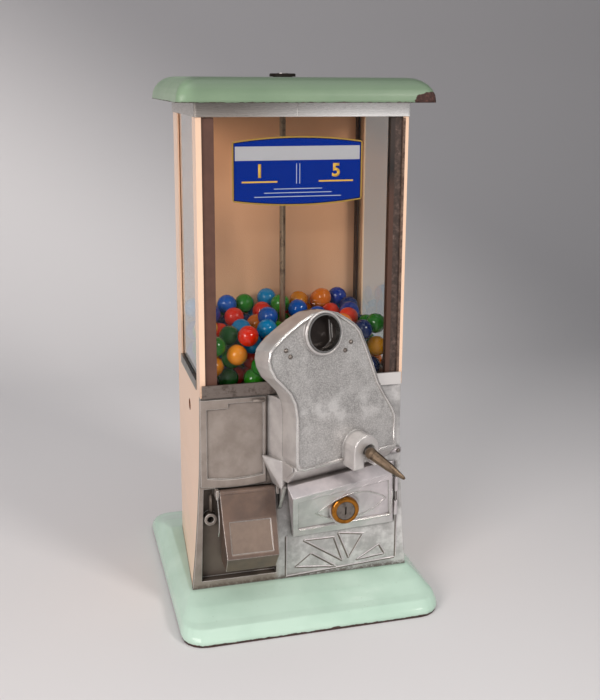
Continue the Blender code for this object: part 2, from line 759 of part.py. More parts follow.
def make_tie_rod(finishes):
    axis = frame("rod_axis", Matrix.Translation(ROD_AXIS))
    strap_bottom = CORNICE_TOP - ROD_STRAP_DROP
    strap_top = strap_bottom + ROD_STRAP_THICKNESS
    nut_high = strap_top + GAP
    rod_low = ROD_FOOT + GAP
    rod_high = nut_high + ROD_NUT_HEIGHT + ROD_PROUD
    piece("tie_rod", rod(bmesh.new(), ROD_RADIUS, rod_low, rod_high, 12), finishes["galvanised"], axis)
    half = CABINET_HALF + CORNICE_PROUD - CORNICE_DEPTH - GAP
    strap = box(bmesh.new(), (-half, -ROD_STRAP_WIDTH / 2, strap_bottom),
                (half, ROD_STRAP_WIDTH / 2, strap_top))
    made = piece("rod_strap", strap, finishes["galvanised"], axis)
    cut(made, rod(bmesh.new(), ROD_RADIUS + ROD_FIT, strap_bottom - OVERRUN, strap_top + OVERRUN, 12))
    bore = (ROD_RADIUS + ROD_FIT) / cos(HALF_TURN / 6)
    high = nut_high + ROD_NUT_HEIGHT
    rings = [hexagon(bore, nut_high), hexagon(ROD_NUT_RADIUS, nut_high),
             hexagon(ROD_NUT_RADIUS, high), hexagon(bore, high)]
    piece("rod_nut", loft(bmesh.new(), rings, True), finishes["machined_steel"], axis)


# Glazing, rails and label

def make_glazing(finishes):
    inner = CABINET_HALF - SHEET - GAP
    lip = inner - CHANNEL_WIDTH
    for name, side in (("front_channel_left", -1), ("front_channel_right", 1)):
        section = [
            (inner, CHANNEL_FRONT), (inner, CHANNEL_BACK), (lip, CHANNEL_BACK),
            (lip, CHANNEL_BACK - CHANNEL_SHEET), (inner - CHANNEL_SHEET, CHANNEL_BACK - CHANNEL_SHEET),
            (inner - CHANNEL_SHEET, CHANNEL_FRONT + CHANNEL_SHEET),
            (lip, CHANNEL_FRONT + CHANNEL_SHEET), (lip, CHANNEL_FRONT),
        ]
        outline = [(side * x, y) for x, y in section]
        form = prism(bmesh.new(), outline, level_plane(PANE_BOTTOM), PANE_TOP - PANE_BOTTOM)
        piece(name, form, finishes["rusty_channel"])
    pane = inner - CHANNEL_SHEET - GAP
    front = box(bmesh.new(), (-pane, GLASS_FRONT, PANE_BOTTOM), (pane, GLASS_BACK, PANE_TOP))
    piece("front_glass", front, finishes["clear_glass"])
    for side_name, side in (("left", -1), ("right", 1)):
        faces = sorted((side * inner, side * (inner - SIDE_GLASS)))
        form = box(bmesh.new(), (faces[0], CHANNEL_BACK + GAP, PANE_BOTTOM),
                   (faces[1], CABINET_BACK - SHEET - GAP, PANE_TOP))
        piece(f"{side_name}_glass", form, finishes["clear_glass"])
        outer = CABINET_HALF + RAIL_PROUD
        faces = sorted((side * outer, side * (outer - RAIL_THICKNESS)))
        ends = (CABINET_FRONT + FRONT_POST + GAP, CABINET_BACK - BACK_POST - GAP)
        form = bmesh.new()
        groove = SIDE_SILL + GAP
        box(form, (faces[0], ends[0], groove), (faces[1], ends[1], groove + RAIL_HEIGHT))
        rail = piece(f"side_rail_{side_name}", form, finishes["galvanised"])
        glass_face = inner + GAP
        faces = sorted((side * glass_face, side * (glass_face - RAIL_THICKNESS)))
        cut(rail, box(bmesh.new(), (faces[0], ends[0] - OVERRUN, groove - OVERRUN),
                      (faces[1], ends[1] + OVERRUN, groove + RAIL_HEIGHT + OVERRUN)))


def make_sill(finishes):
    front = CABINET_FRONT - GAP - SILL_THICKNESS
    top = SILL_BOTTOM + SILL_HEIGHT
    form = box(bmesh.new(), (-SILL_HALF_LENGTH, front, SILL_BOTTOM),
               (SILL_HALF_LENGTH, front + SILL_THICKNESS, top))
    sill = piece("window_sill", form, finishes["galvanised"])
    inner = CABINET_HALF - POST_FLANGE - GAP
    leg = box(bmesh.new(), (-inner, front + SILL_THICKNESS / 2, SILL_BOTTOM),
              (inner, front + SILL_LEG, SILL_BOTTOM + SILL_THICKNESS))
    join(sill, leg)


def make_label(finishes):
    outline = bowed_edge(LABEL_LEFT, LABEL_RIGHT, LABEL_BOTTOM, LABEL_BOW)
    outline += bowed_edge(LABEL_RIGHT, LABEL_LEFT, LABEL_TOP, -LABEL_BOW)
    place = front_plane(GLASS_BACK + GAP + LABEL_THICKNESS)
    piece("glass_label", prism(bmesh.new(), outline, place, LABEL_THICKNESS), finishes["printed_film"])


# Hopper pan, wheel plate, ball guard and gum wheel

def pan_directions(low, high):
    # Evenly spaced directions round the rod, and those of the pan's four corners.
    corners = [atan2(y - ROD_Y, x) % FULL_TURN for x in (low[0], high[0]) for y in (low[1], high[1])]
    return sorted([step * FULL_TURN / PAN_STEPS for step in range(PAN_STEPS)] + corners)


def pan_square(directions, low, high, height):
    points = []
    for angle in directions:
        across = cos(angle)
        along = sin(angle)
        reach_x = (high[0] if across > 0 else low[0]) / across if abs(across) > GAP else FULL_TURN
        reach_y = ((high[1] if along > 0 else low[1]) - ROD_Y) / along if abs(along) > GAP else FULL_TURN
        reach = max(min(reach_x, reach_y), WELL_RADIUS + GAP)
        points.append(Vector((reach * across, ROD_Y + reach * along, height)))
    return points


def pan_circle(directions, radius, height):
    return [Vector((radius * cos(angle), ROD_Y + radius * sin(angle), height)) for angle in directions]


def make_pan(finishes):
    low = (-PAN_HALF, CABINET_FRONT + SHEET + GAP)
    high = (PAN_HALF, CABINET_BACK - SHEET - GAP)
    low_in = [value + PAN_RIM_WIDTH for value in low]
    high_in = [value - PAN_RIM_WIDTH for value in high]
    ways = pan_directions(low, high)
    under = PAN_RIM_TOP - PAN_SHEET
    foot = PLATE_TOP_Z + GAP
    outer = WELL_RADIUS + PAN_SHEET
    rings = [
        pan_square(ways, low, high, PAN_RIM_TOP), pan_square(ways, low_in, high_in, PAN_RIM_TOP),
        pan_circle(ways, WELL_RADIUS, PAN_WELL_TOP), pan_circle(ways, WELL_RADIUS, foot),
        pan_circle(ways, outer, foot), pan_circle(ways, outer, PAN_WELL_TOP - PAN_SHEET),
        pan_square(ways, low_in, high_in, under), pan_square(ways, low, high, under),
    ]
    piece("hopper_pan", loft(bmesh.new(), rings, True), finishes["galvanised"])


def make_plate(finishes):
    angle = asin(PLATE_STRAP / 2 / PLATE_RADIUS)
    half = PLATE_STRAP / 2
    outline = [(PAN_HALF, -half), (PAN_HALF, half)]
    outline += arc((0, 0), PLATE_RADIUS, angle, HALF_TURN - angle, 14)
    outline += [(-PAN_HALF, half), (-PAN_HALF, -half)]
    outline += arc((0, 0), PLATE_RADIUS, HALF_TURN + angle, FULL_TURN - angle, 14)
    place = Matrix.Translation(ROD_AXIS) @ level_plane(PLATE_BOTTOM_Z)
    form = prism(bmesh.new(), outline, place, PLATE_THICKNESS)
    plate = piece("wheel_plate", form, finishes["galvanised"])
    drop = Vector((POCKET_PITCH_RADIUS * cos(DROP_ANGLE), POCKET_PITCH_RADIUS * sin(DROP_ANGLE), 0))
    holes = bmesh.new()
    rod(holes, HUB_RADIUS + HUB_FIT, PLATE_BOTTOM_Z - OVERRUN, PLATE_TOP_Z + OVERRUN, 20,
        Matrix.Translation(ROD_AXIS))
    rod(holes, DROP_HOLE_RADIUS, PLATE_BOTTOM_Z - OVERRUN, PLATE_TOP_Z + OVERRUN, 20,
        Matrix.Translation(ROD_AXIS + drop))
    cut(plate, holes)


def make_guard(finishes):
    start = DROP_ANGLE - GUARD_HALF_ANGLE
    end = DROP_ANGLE + GUARD_HALF_ANGLE
    outline = arc((0, 0), GUARD_OUTER_RADIUS, start, end, 8)
    outline += arc((0, 0), GUARD_INNER_RADIUS, end, start, 8)
    place = Matrix.Translation(ROD_AXIS) @ level_plane(WHEEL_TOP + GUARD_LIFT)
    piece("ball_guard", prism(bmesh.new(), outline, place, GUARD_THICKNESS), finishes["galvanised"])


def make_gum_wheel(finishes):
    axis = frame("wheel_axis", Matrix.Translation(ROD_AXIS))
    bore = ROD_RADIUS + ROD_FIT
    hub_foot = crown_levels()[2] + GAP
    profile = [
        (bore, hub_foot), (HUB_RADIUS, hub_foot), (HUB_RADIUS, WHEEL_BOTTOM),
        (WHEEL_RADIUS, WHEEL_BOTTOM), (WHEEL_RADIUS, WHEEL_TOP), (bore, WHEEL_TOP),
    ]
    form = turned(bmesh.new(), profile, 40, None, True)
    wheel = piece("gum_wheel", form, finishes["cast_aluminium"], axis)
    pockets = bmesh.new()
    for pocket in range(POCKETS):
        angle = DROP_ANGLE + pocket * FULL_TURN / POCKETS
        centre = Vector((POCKET_PITCH_RADIUS * cos(angle), POCKET_PITCH_RADIUS * sin(angle), 0))
        rod(pockets, POCKET_RADIUS, WHEEL_BOTTOM - OVERRUN, WHEEL_TOP + OVERRUN, 16,
            Matrix.Translation(centre))
    cut(wheel, pockets)
    return axis


# Coin housing and what it carries. Its frame: X along the face, Y into the machine.

def housing_matrix():
    return Matrix.Translation((HOUSING_X, HOUSING_Y, 0)) @ Matrix.Rotation(HOUSING_YAW, 4, "Z")


def casting_depth(along, y):
    # Depth into the housing's frame at which the plane of the given y lies.
    return (y - HOUSING_Y - along * sin(HOUSING_YAW)) / cos(HOUSING_YAW)


def lean_at(height):
    return max(height - HOUSING_BEND, 0) * tan(HOUSING_LEAN)


def housing_outline():
    return [(s * HOUSING_WIDTH, HOUSING_BOTTOM + z * HOUSING_HEIGHT) for s, z in HOUSING_OUTLINE_SHARES]


def slab_rings(depth):
    ring = []
    for s, z in housing_outline():
        leaning = z > HOUSING_BEND + GAP
        along = depth * cos(HOUSING_LEAN) if leaning else depth
        down = depth * sin(HOUSING_LEAN) if leaning else 0
        ring.append(Vector((s, lean_at(z) + along, z - down)))
    return ring


def face_matrix():
    # On the leaning face: X along it, Y up it, Z outwards, at the coin entry's centre.
    place = Matrix.Translation((ENTRY_S, lean_at(ENTRY_Z), ENTRY_Z))
    return place @ Matrix.Rotation(HALF_TURN / 2 - HOUSING_LEAN, 4, "X")


def make_slab():
    form = bmesh.new()
    front = [form.verts.new(point) for point in slab_rings(0)]
    back = [form.verts.new(point) for point in slab_rings(HOUSING_DEPTH)]
    count = len(front)
    lower = front[:BEND_CORNER + 1] + [front[-1]]
    upper = front[BEND_CORNER:]
    faces = [form.faces.new(lower), form.faces.new(upper)]
    form.faces.new(back[:BEND_CORNER + 1] + [back[-1]])
    form.faces.new(back[BEND_CORNER:])
    for index in range(count):
        following = (index + 1) % count
        form.faces.new((front[index], front[following], back[following], back[index]))
    bmesh.ops.recalc_face_normals(form, faces=form.faces)
    bmesh.ops.inset_region(form, faces=faces, thickness=HOUSING_RIM, depth=-HOUSING_FIELD,
                           use_even_offset=True)
    return form


def rear_box():
    # The box between the slab and the cast front; its left side spreads towards the cast front.
    far = casting_depth(0, CASTING_FRONT)
    right = HOUSING_WIDTH - HOUSING_STEP
    bottom = HOUSING_BOTTOM + HOUSING_STEP
    shoulder_z = HOUSING_BOTTOM + HOUSING_OUTLINE_SHARES[SHOULDER_CORNER][1] * HOUSING_HEIGHT
    top_share = HOUSING_OUTLINE_SHARES[WAIST_CORNER][0]
    shape = [
        (right, bottom + HOUSING_STEP), (right - HOUSING_STEP, shoulder_z),
        (top_share * HOUSING_WIDTH - HOUSING_STEP, HOUSING_BOX_TOP - HOUSING_STEP),
        (top_share * HOUSING_WIDTH - HOUSING_WALL, HOUSING_BOX_TOP),
    ]
    rings = []
    for depth, left in ((HOUSING_DEPTH / 2, HOUSING_STEP * 2), (far + HOUSING_DEPTH / 2, -BOX_FLARE)):
        outline = [(left, bottom)] + shape + [(left, HOUSING_BOX_TOP)]
        rings.append([Vector((along, depth, z)) for along, z in outline])
    return loft(bmesh.new(), rings)


def chin():
    # The sloping underside between the face's lower edge and the cash door's top.
    low = HOUSING_BOTTOM
    outline = [
        (HOUSING_FIELD, low + HOUSING_STEP), (CHIN_DEPTH, CHIN_BOTTOM),
        (casting_depth(0, CASTING_FRONT), CHIN_BOTTOM),
        (casting_depth(0, CASTING_FRONT), low + HOUSING_WALL), (HOUSING_WALL, low + HOUSING_WALL),
    ]
    right = HOUSING_WIDTH - HOUSING_STEP
    return prism(bmesh.new(), outline, side_plane(GAP), right - GAP)


def hollow():
    # The room for the works, open at the back, with one wall behind the face and over the chin.
    front = HOUSING_WALL + HOUSING_STEP
    fall = (HOUSING_BOTTOM + HOUSING_STEP - CHIN_BOTTOM) / (CHIN_DEPTH - HOUSING_FIELD)
    start_z = HOUSING_BOTTOM + HOUSING_STEP + CHIN_WALL_RISE - (front - HOUSING_FIELD) * fall
    floor_z = CHIN_BOTTOM + CHIN_FLOOR
    reach = HOUSING_WIDTH + HOUSING_DEPTH
    outline = [
        (front, HOUSING_BEND), (front, start_z), (front + (start_z - floor_z) / fall, floor_z),
        (reach, floor_z), (reach, HOUSING_BEND),
    ]
    left = SLIDE_LEFT - HOUSING_STEP
    return prism(bmesh.new(), outline, side_plane(left), HOLLOW_RIGHT - left)


def corbel():
    # The sloping web that joins the housing's lower left corner to the cast front.
    # Corners: x, y, z
    far = CASTING_FRONT
    near = CASTING_FRONT - PLATE_PROUD - GAP
    top = HOUSING_BOTTOM + HOUSING_WALL
    low = FLAP_PIVOT_Z + FLAP_LUG_HEIGHT / 2 + GAP * 2
    wedge = [
        (CORBEL_LEFT, near, top), (CORBEL_MIDDLE, near, low), (CORBEL_RIGHT, near, low),
        (CORBEL_RIGHT, near, top), (CORBEL_EDGE_X, CORBEL_EDGE_Y, top), (CORBEL_EDGE_X, CORBEL_EDGE_Y, low),
        (CORBEL_RIGHT, CORBEL_EDGE_Y, top), (CORBEL_RIGHT, CORBEL_EDGE_Y, CHIN_BOTTOM + GAP),
    ]
    tail = [
        (CORBEL_TAIL_X, far, low + GAP), (CORBEL_TAIL_X, far, CORBEL_TAIL_Z),
        (CORBEL_RIGHT, far, CORBEL_TAIL_Z), (CORBEL_RIGHT, far, top),
        (CORBEL_TAIL_X, CORBEL_EDGE_Y + HOUSING_STEP, low + HOUSING_STEP),
        (CORBEL_RIGHT, CORBEL_EDGE_Y + HOUSING_STEP, low + HOUSING_STEP), (CORBEL_TAIL_X, far, top),
    ]
    edge_y = CORBEL_EDGE_Y + HOUSING_STEP
    cheek_top = top - GAP
    inside = CORBEL_RIGHT + HOUSING_STEP
    cheek = [
        (CORBEL_EDGE_X + GAP, edge_y, cheek_top), (CORBEL_EDGE_X + GAP, edge_y, CORBEL_CHEEK_Z),
        (CORBEL_NOSE_X, CORBEL_NOSE_Y, cheek_top), (CORBEL_NOSE_X, CORBEL_NOSE_Y, HOUSING_BOTTOM),
        (inside, edge_y, cheek_top), (inside, edge_y, CHIN_BOTTOM - GAP),
    ]
    back = housing_matrix().inverted()
    forms = []
    for corners in (wedge, tail, cheek):
        form = bmesh.new()
        for corner in corners:
            form.verts.new(back @ Vector(corner))
        bmesh.ops.convex_hull(form, input=form.verts)
        forms.append(form)
    return forms


def hood_outline(half_width, middle, bottom, top_centre):
    return [(middle - half_width, bottom), (middle + half_width, bottom)] + arc(
        (middle, top_centre), half_width, 0, HALF_TURN, HOOD_ARCH_STEPS)


def make_housing(finishes, home):
    housing = piece("coin_housing", make_slab(), finishes["cast_aluminium"], home)
    housing["solver"] = "MANIFOLD"
    join(housing, rear_box())
    join(housing, chin())
    for web in corbel():
        join(housing, web)
    hood_place = Matrix.Translation((0, HOUSING_WALL / 2, 0)) @ FRONT_VIEW
    outline = hood_outline(HOOD_HALF_WIDTH, HANDLE_S, HOOD_BOTTOM, HANDLE_Z + HOUSING_STEP)
    join(housing, prism(bmesh.new(), outline, hood_place, HOOD_DEPTH + HOUSING_WALL / 2))
    boss = rod(bmesh.new(), ENTRY_BOSS_RADIUS, -HOUSING_WALL / 2, ENTRY_BOSS_HEIGHT, 28, face_matrix())
    join(housing, boss)
    cut_housing(housing)
    return housing


def cut_housing(housing):
    inward = housing_matrix().inverted()
    reach = HOUSING_WIDTH + HOUSING_DEPTH
    back = CASTING_FRONT - GAP
    head_back = CABINET_FRONT - GAP - SILL_THICKNESS - HEAD_CLEARANCE
    behind = box(bmesh.new(), (-reach, back, 0), (reach, back + reach, HOUSING_BOX_TOP), inward)
    cut(housing, behind)
    above = box(bmesh.new(), (-reach, head_back, HOUSING_BOX_TOP - GAP),
                (reach, back + reach, CABINET_TOP), inward)
    cut(housing, above)
    cut(housing, hollow())
    half = COIN_CHANNEL_WIDTH / 2
    channel_low = (-half, HOUSING_BEND - ENTRY_Z - HOUSING_STEP, -COIN_CHANNEL_START - COIN_CHANNEL_DEPTH)
    channel = box(bmesh.new(), channel_low, (half, half, -COIN_CHANNEL_START), face_matrix())
    cut(housing, channel)
    bore = rod(bmesh.new(), ENTRY_RING_RADIUS + GAP, -COIN_CHANNEL_START - COIN_CHANNEL_DEPTH / 2,
               OVERRUN, 28, face_matrix())
    cut(housing, bore)
    slot_place = Matrix.Translation((0, HOOD_SLOT_DEPTH - HOOD_DEPTH, 0)) @ FRONT_VIEW
    slot = hood_outline(HOOD_SLOT_RADIUS, HOOD_SLOT_S, HOOD_BOTTOM - OVERRUN, HANDLE_Z)
    cut(housing, prism(bmesh.new(), slot, slot_place, HOOD_DEPTH + OVERRUN))
    bush_seat = HOOD_DEPTH - HOOD_SLOT_DEPTH - BUSH_SETBACK
    cut(housing, rod(bmesh.new(), BUSH_RADIUS + GAP, -HOUSING_DEPTH, bush_seat, 20, handle_matrix()))
    cut(housing, rod(bmesh.new(), SHAFT_RADIUS + SHAFT_FIT, 0, HOOD_DEPTH + OVERRUN, 16, handle_matrix()))


def make_coin_ring(finishes, home):
    low = -COIN_CHANNEL_START
    high = ENTRY_BOSS_HEIGHT + ENTRY_RING_PROUD
    form = turned(bmesh.new(), [
        (ENTRY_BORE_RADIUS, low), (ENTRY_RING_RADIUS, low), (ENTRY_RING_RADIUS, high),
        (ENTRY_MOUTH_RADIUS, high), (ENTRY_BORE_RADIUS, (low + high) / 2),
    ], 28, face_matrix(), True)
    piece("coin_entry_ring", form, finishes["rolled_steel"], home)


def make_coin_slide(finishes, home):
    outline = [
        (SLIDE_LEFT, SLIDE_HIGH), (SLIDE_LEFT, CHIN_BOTTOM + CHIN_FLOOR + GAP),
        (SLIDE_LEFT + SLIDE_SHEET, CHIN_BOTTOM + CHIN_FLOOR + GAP),
        (SLIDE_LEFT + SLIDE_SHEET, SLIDE_HIGH - SLIDE_SHEET * 2), (SLIDE_RIGHT, SLIDE_LOW - SLIDE_SHEET),
        (SLIDE_RIGHT, SLIDE_LOW),
    ]
    place = Matrix.Translation((0, SLIDE_START + SLIDE_DEPTH, 0)) @ FRONT_VIEW
    piece("coin_slide", prism(bmesh.new(), outline, place, SLIDE_DEPTH), finishes["galvanised"], home)


# Handle, its shaft and the coin wheel. Their frame: X along the face, Y up, Z outwards.

def handle_matrix():
    return Matrix.Translation((HANDLE_S, 0, HANDLE_Z)) @ Matrix.Rotation(HALF_TURN / 2, 4, "X")


def rod_in_handle():
    # The gum wheel's axis in the handle's frame: its side offset and its distance behind the face.
    handle = housing_matrix() @ handle_matrix()
    local = handle.inverted() @ ROD_AXIS
    return local.x, -local.z


def gear_module():
    # The crown's pitch at the middle of the pinion's teeth sets the size of both gears.
    near, far = gear_reach()[:2]
    behind = rod_in_handle()[1]
    return 2 * (behind - (near + far) / 2) / CROWN_TEETH


def crown_levels():
    module = gear_module()
    pitch_z = HANDLE_Z + module * PINION_TEETH / 2
    root = pitch_z + module * DEDENDUM_SHARE
    return root, pitch_z - module * ADDENDUM_SHARE, root + CROWN_DISC


def gear_reach():
    offset, behind = rod_in_handle()
    outer = POCKET_PITCH_RADIUS - DROP_HOLE_RADIUS - CROWN_SLACK
    near = behind - sqrt(outer ** 2 - offset ** 2)
    return near, near + PINION_LENGTH, outer


def lever_point(share):
    reach = LEVER_REACH * share
    out = mix(HUB_BALL_OUT, LEVER_TIP_OUT, share)
    return Vector((reach * cos(LEVER_DIRECTION), reach * sin(LEVER_DIRECTION), out))


def make_handle(finishes, home):
    axis = frame("handle_axis", handle_matrix(), home)
    start = lever_point(0)
    tip = lever_point(1)
    along = (tip - start).to_track_quat("Z", "X").to_matrix().to_4x4()
    length = (tip - start).length
    waist = mix(LEVER_ROOT_RADIUS, LEVER_TIP_RADIUS, LEVER_TAPER_SHARE)
    lever = turned(bmesh.new(), [
        (0, 0), (LEVER_ROOT_RADIUS, 0), (waist, length * LEVER_WAIST_SHARE),
        (LEVER_TIP_RADIUS, length - LEVER_TIP_RADIUS), (LEVER_TIP_RADIUS / 2, length), (0, length),
    ], LEVER_SIDES, Matrix.Translation(start) @ along)
    made = piece("handle_lever", lever, finishes["lever_bronze"], axis)
    ball = []
    for step in range(HUB_BALL_STEPS + 1):
        angle = HALF_TURN * step / HUB_BALL_STEPS
        ball.append((HUB_BALL_RADIUS * sin(angle), HUB_BALL_OUT - HUB_BALL_RADIUS * cos(angle)))
    ball[0] = (0, ball[0][1])
    ball[-1] = (0, ball[-1][1])
    join(made, turned(bmesh.new(), ball, 14))
    socket = HOOD_DEPTH + GAP
    cut(made, rod(bmesh.new(), SHAFT_RADIUS - HOUSING_STEP + SHAFT_FIT, 0, HUB_BALL_OUT + GAP, 12))
    near, far = gear_reach()[:2]
    shoulder = -near + SHAFT_SHOULDER
    neck = SHAFT_RADIUS - HOUSING_STEP
    shaft = turned(bmesh.new(), [
        (0, -far - GAP), (JOURNAL_RADIUS, -far - GAP), (JOURNAL_RADIUS, shoulder), (SHAFT_RADIUS, shoulder),
        (SHAFT_RADIUS, socket), (neck, socket), (neck, HUB_BALL_OUT), (0, HUB_BALL_OUT),
    ], 14)
    piece("handle_shaft", shaft, finishes["machined_steel"], axis)
    coin_low = -COIN_WHEEL_DEPTH - COIN_WHEEL_THICKNESS
    wheel = tube(bmesh.new(), COIN_WHEEL_RADIUS, SHAFT_RADIUS + SHAFT_FIT, coin_low, -COIN_WHEEL_DEPTH, 28)
    wheel = piece("coin_wheel", wheel, finishes["machined_steel"], axis)
    notch = Matrix.Translation((0, COIN_NOTCH_REACH, 0))
    coin_high = -COIN_WHEEL_DEPTH
    cut(wheel, rod(bmesh.new(), COIN_NOTCH_RADIUS, coin_low - OVERRUN, coin_high + OVERRUN, 16, notch))
    return axis


def make_bush(finishes, home):
    high = HOOD_DEPTH - HOOD_SLOT_DEPTH - BUSH_SETBACK
    low = high - BUSH_LENGTH
    bore = SHAFT_RADIUS + SHAFT_FIT
    form = tube(bmesh.new(), BUSH_RADIUS, bore, low, high - GAP, 20)
    piece("handle_bush", form, finishes["bearing_bronze"], frame("bush_axis", handle_matrix(), home))


def make_bracket(finishes, home):
    near = gear_reach()[0]
    front = -near + GAP * 2 + BRACKET_OUT
    top = PLATE_BOTTOM_Z - GAP - HANDLE_Z
    form = box(bmesh.new(), (-BRACKET_WIDTH / 2, -BRACKET_BELOW, front),
               (BRACKET_WIDTH / 2, top, front + BRACKET_THICKNESS))
    made = piece("rear_bearing_bracket", form, finishes["cast_aluminium"],
                 frame("bracket_axis", handle_matrix(), home))
    back = front + BRACKET_THICKNESS
    cut(made, rod(bmesh.new(), SHAFT_RADIUS + SHAFT_FIT, front - OVERRUN, back + OVERRUN, 16))


def pinion_outline():
    tooth = FULL_TURN / PINION_TEETH
    pitch_radius = gear_module() * PINION_TEETH / 2
    root = pitch_radius - gear_module() * ROOT_SHARE
    tip = pitch_radius + gear_module() * ADDENDUM_SHARE
    outline = []
    for index in range(PINION_TEETH):
        # One tooth points straight up, into a space of the crown gear above it.
        middle = HALF_TURN / 2 + index * tooth
        for radius, share in ((root, -PINION_ROOT_SHARE), (tip, -PINION_TIP_SHARE),
                              (tip, PINION_TIP_SHARE), (root, PINION_ROOT_SHARE)):
            angle = middle + share * tooth
            outline.append((radius * cos(angle), radius * sin(angle)))
    return outline


def crown_ring(radius, levels):
    # The teeth run straight along the handle's shaft where they meet the pinion.
    offset = rod_in_handle()[0]
    toward = atan2(-cos(HOUSING_YAW), sin(HOUSING_YAW))
    turn = asin(-offset / radius)
    pitch = FULL_TURN / CROWN_TEETH
    root, tip = levels
    ring = []
    for index in range(CROWN_TEETH):
        middle = toward + turn + (index + 0.5) * pitch
        for level, share in ((root, -CROWN_ROOT_SHARE), (tip, -CROWN_TIP_SHARE),
                             (tip, CROWN_TIP_SHARE), (root, CROWN_ROOT_SHARE)):
            angle = middle + share * pitch
            ring.append(Vector((radius * cos(angle), radius * sin(angle), level)))
    return ring


def make_gears(finishes, handle_axis, wheel_axis):
    near, far, outer = gear_reach()
    offset, behind = rod_in_handle()
    pinion = prism(bmesh.new(), pinion_outline(), Matrix.Translation((0, 0, -far)), far - near)
    made = piece("drive_pinion", pinion, finishes["machined_steel"], handle_axis)
    cut(made, rod(bmesh.new(), JOURNAL_RADIUS + PINION_BORE_FIT, -far - OVERRUN, -near + OVERRUN, 12))
    inner = hypot(behind - far, offset) - gear_module()
    root, tip, top = crown_levels()
    web = mix(root, top, CROWN_WEB_SHARE)
    rings = [
        crown_ring(inner, (web, web)), crown_ring(inner, (root, tip)), crown_ring(outer, (root, tip)),
        crown_ring(outer, (top, top)),
    ]
    form = loft(bmesh.new(), rings)
    crown = piece("crown_gear", form, finishes["machined_steel"], wheel_axis, None, radians(25))
    cut(crown, rod(bmesh.new(), ROD_RADIUS + ROD_FIT, web - OVERRUN, top + OVERRUN, 12))


# Cast front

def flared_outline():
    levels = [mix(CASTING_BOTTOM, CASTING_TOP, step / FLARE_STEPS) for step in range(FLARE_STEPS + 1)]
    right = [(CABINET_HALF + flare_at(level), level) for level in levels]
    return right + [(-x, z) for x, z in reversed(right)]


def bowed_edge(start, end, height, sag):
    # Points of a level edge that sags by the given amount at its middle.
    bow = []
    for step in range(BOW_STEPS + 1):
        share = step / BOW_STEPS
        bow.append((mix(start, end, share), height - sag * (1 - (2 * share - 1) ** 2)))
    return bow


def plate_outline():
    return bowed_edge(PLATE_LEFT, PLATE_RIGHT, PLATE_BOTTOM, PLATE_BOW) + [
        (PLATE_RIGHT, PLATE_TOP), (PLATE_LEFT, PLATE_TOP)]


def field_outline():
    return bowed_edge(FIELD_LEFT, FIELD_RIGHT, FIELD_BOTTOM, PLATE_BOW) + [
        (FIELD_RIGHT, FIELD_TOP), (FIELD_STEP_X, FIELD_TOP), (FIELD_STEP_X, FIELD_STEP_Z),
        (FIELD_LEFT, FIELD_STEP_Z)]


def bay_outline(margin):
    return [(BAY_LEFT_BOTTOM - margin, BAY_BOTTOM - margin), (BAY_RIGHT + margin, BAY_BOTTOM - margin),
            (BAY_RIGHT + margin, BAY_TOP + margin), (BAY_LEFT_TOP - margin, BAY_TOP + margin)]


def make_casting(finishes):
    form = prism(bmesh.new(), flared_outline(), front_plane(CASTING_BACK), CASTING_WALL)
    casting = piece("front_casting", form, finishes["dull_casting"])
    # The bay's walls stand behind the front wall; the raised plate stands before it.
    depth = BAY_DEPTH + BAY_WALL
    half_wall = CASTING_WALL / 2
    bay_back = front_plane(CASTING_FRONT + depth)
    join(casting, prism(bmesh.new(), bay_outline(BAY_SHELL), bay_back, depth - half_wall))
    plate_back = front_plane(CASTING_FRONT + half_wall)
    join(casting, prism(bmesh.new(), plate_outline(), plate_back, PLATE_PROUD + half_wall))
    bay_floor = front_plane(CASTING_FRONT + BAY_DEPTH)
    cut(casting, prism(bmesh.new(), bay_outline(0), bay_floor, BAY_DEPTH + BAY_WALL / 2))
    field_floor = front_plane(CASTING_FRONT - PLATE_PROUD + FIELD_DEPTH)
    cut(casting, prism(bmesh.new(), field_outline(), field_floor, OVERRUN))
    lug = Matrix.Translation((LUG_X, CASTING_FRONT + BAY_DEPTH + BAY_WALL / 2, LUG_Z)) @ FRONT_VIEW
    join(casting, rod(bmesh.new(), LUG_RADIUS, 0, BAY_DEPTH + BAY_WALL / 2, 16, lug))
    pin_y = CASTING_FRONT - FLAP_PIVOT_PROUD
    half = FLAP_LUG_HEIGHT / 2
    for low, high in (ear_span(-1), ear_span(1)):
        join(casting, box(bmesh.new(), (low, pin_y - FLAP_KNUCKLE_RADIUS, FLAP_PIVOT_Z - half),
                          (high, CASTING_FRONT + BAY_DEPTH + BAY_WALL / 2, FLAP_PIVOT_Z + half)))
    openings = bmesh.new()
    rod(openings, LUG_HOLE_RADIUS, -BAY_WALL, BAY_DEPTH + OVERRUN, 12, lug)
    near = CASTING_FRONT - BAY_WALL / 2
    far = CASTING_BACK + OVERRUN
    box(openings, (MOUTH_LEFT, near, MOUTH_BOTTOM), (MOUTH_RIGHT, CASTING_FRONT + depth + OVERRUN, MOUTH_TOP))
    box(openings, (WORKS_LEFT, near, WORKS_BOTTOM), (WORKS_RIGHT, far, WORKS_TOP))
    box(openings, (CASH_OPENING_LEFT, near, CASH_OPENING_BOTTOM), (CASH_OPENING_RIGHT, far, CASH_OPENING_TOP))
    cut(casting, openings)
    pin_place = Matrix.Translation((0, pin_y, FLAP_PIVOT_Z)) @ Matrix.Rotation(HALF_TURN / 2, 4, "Y")
    pin_left = ear_span(-1)[0] - GAP
    pin_right = ear_span(1)[1] + GAP
    cut(casting, rod(bmesh.new(), FLAP_PIN_RADIUS + GAP, pin_left, pin_right, 12, pin_place))
    return casting


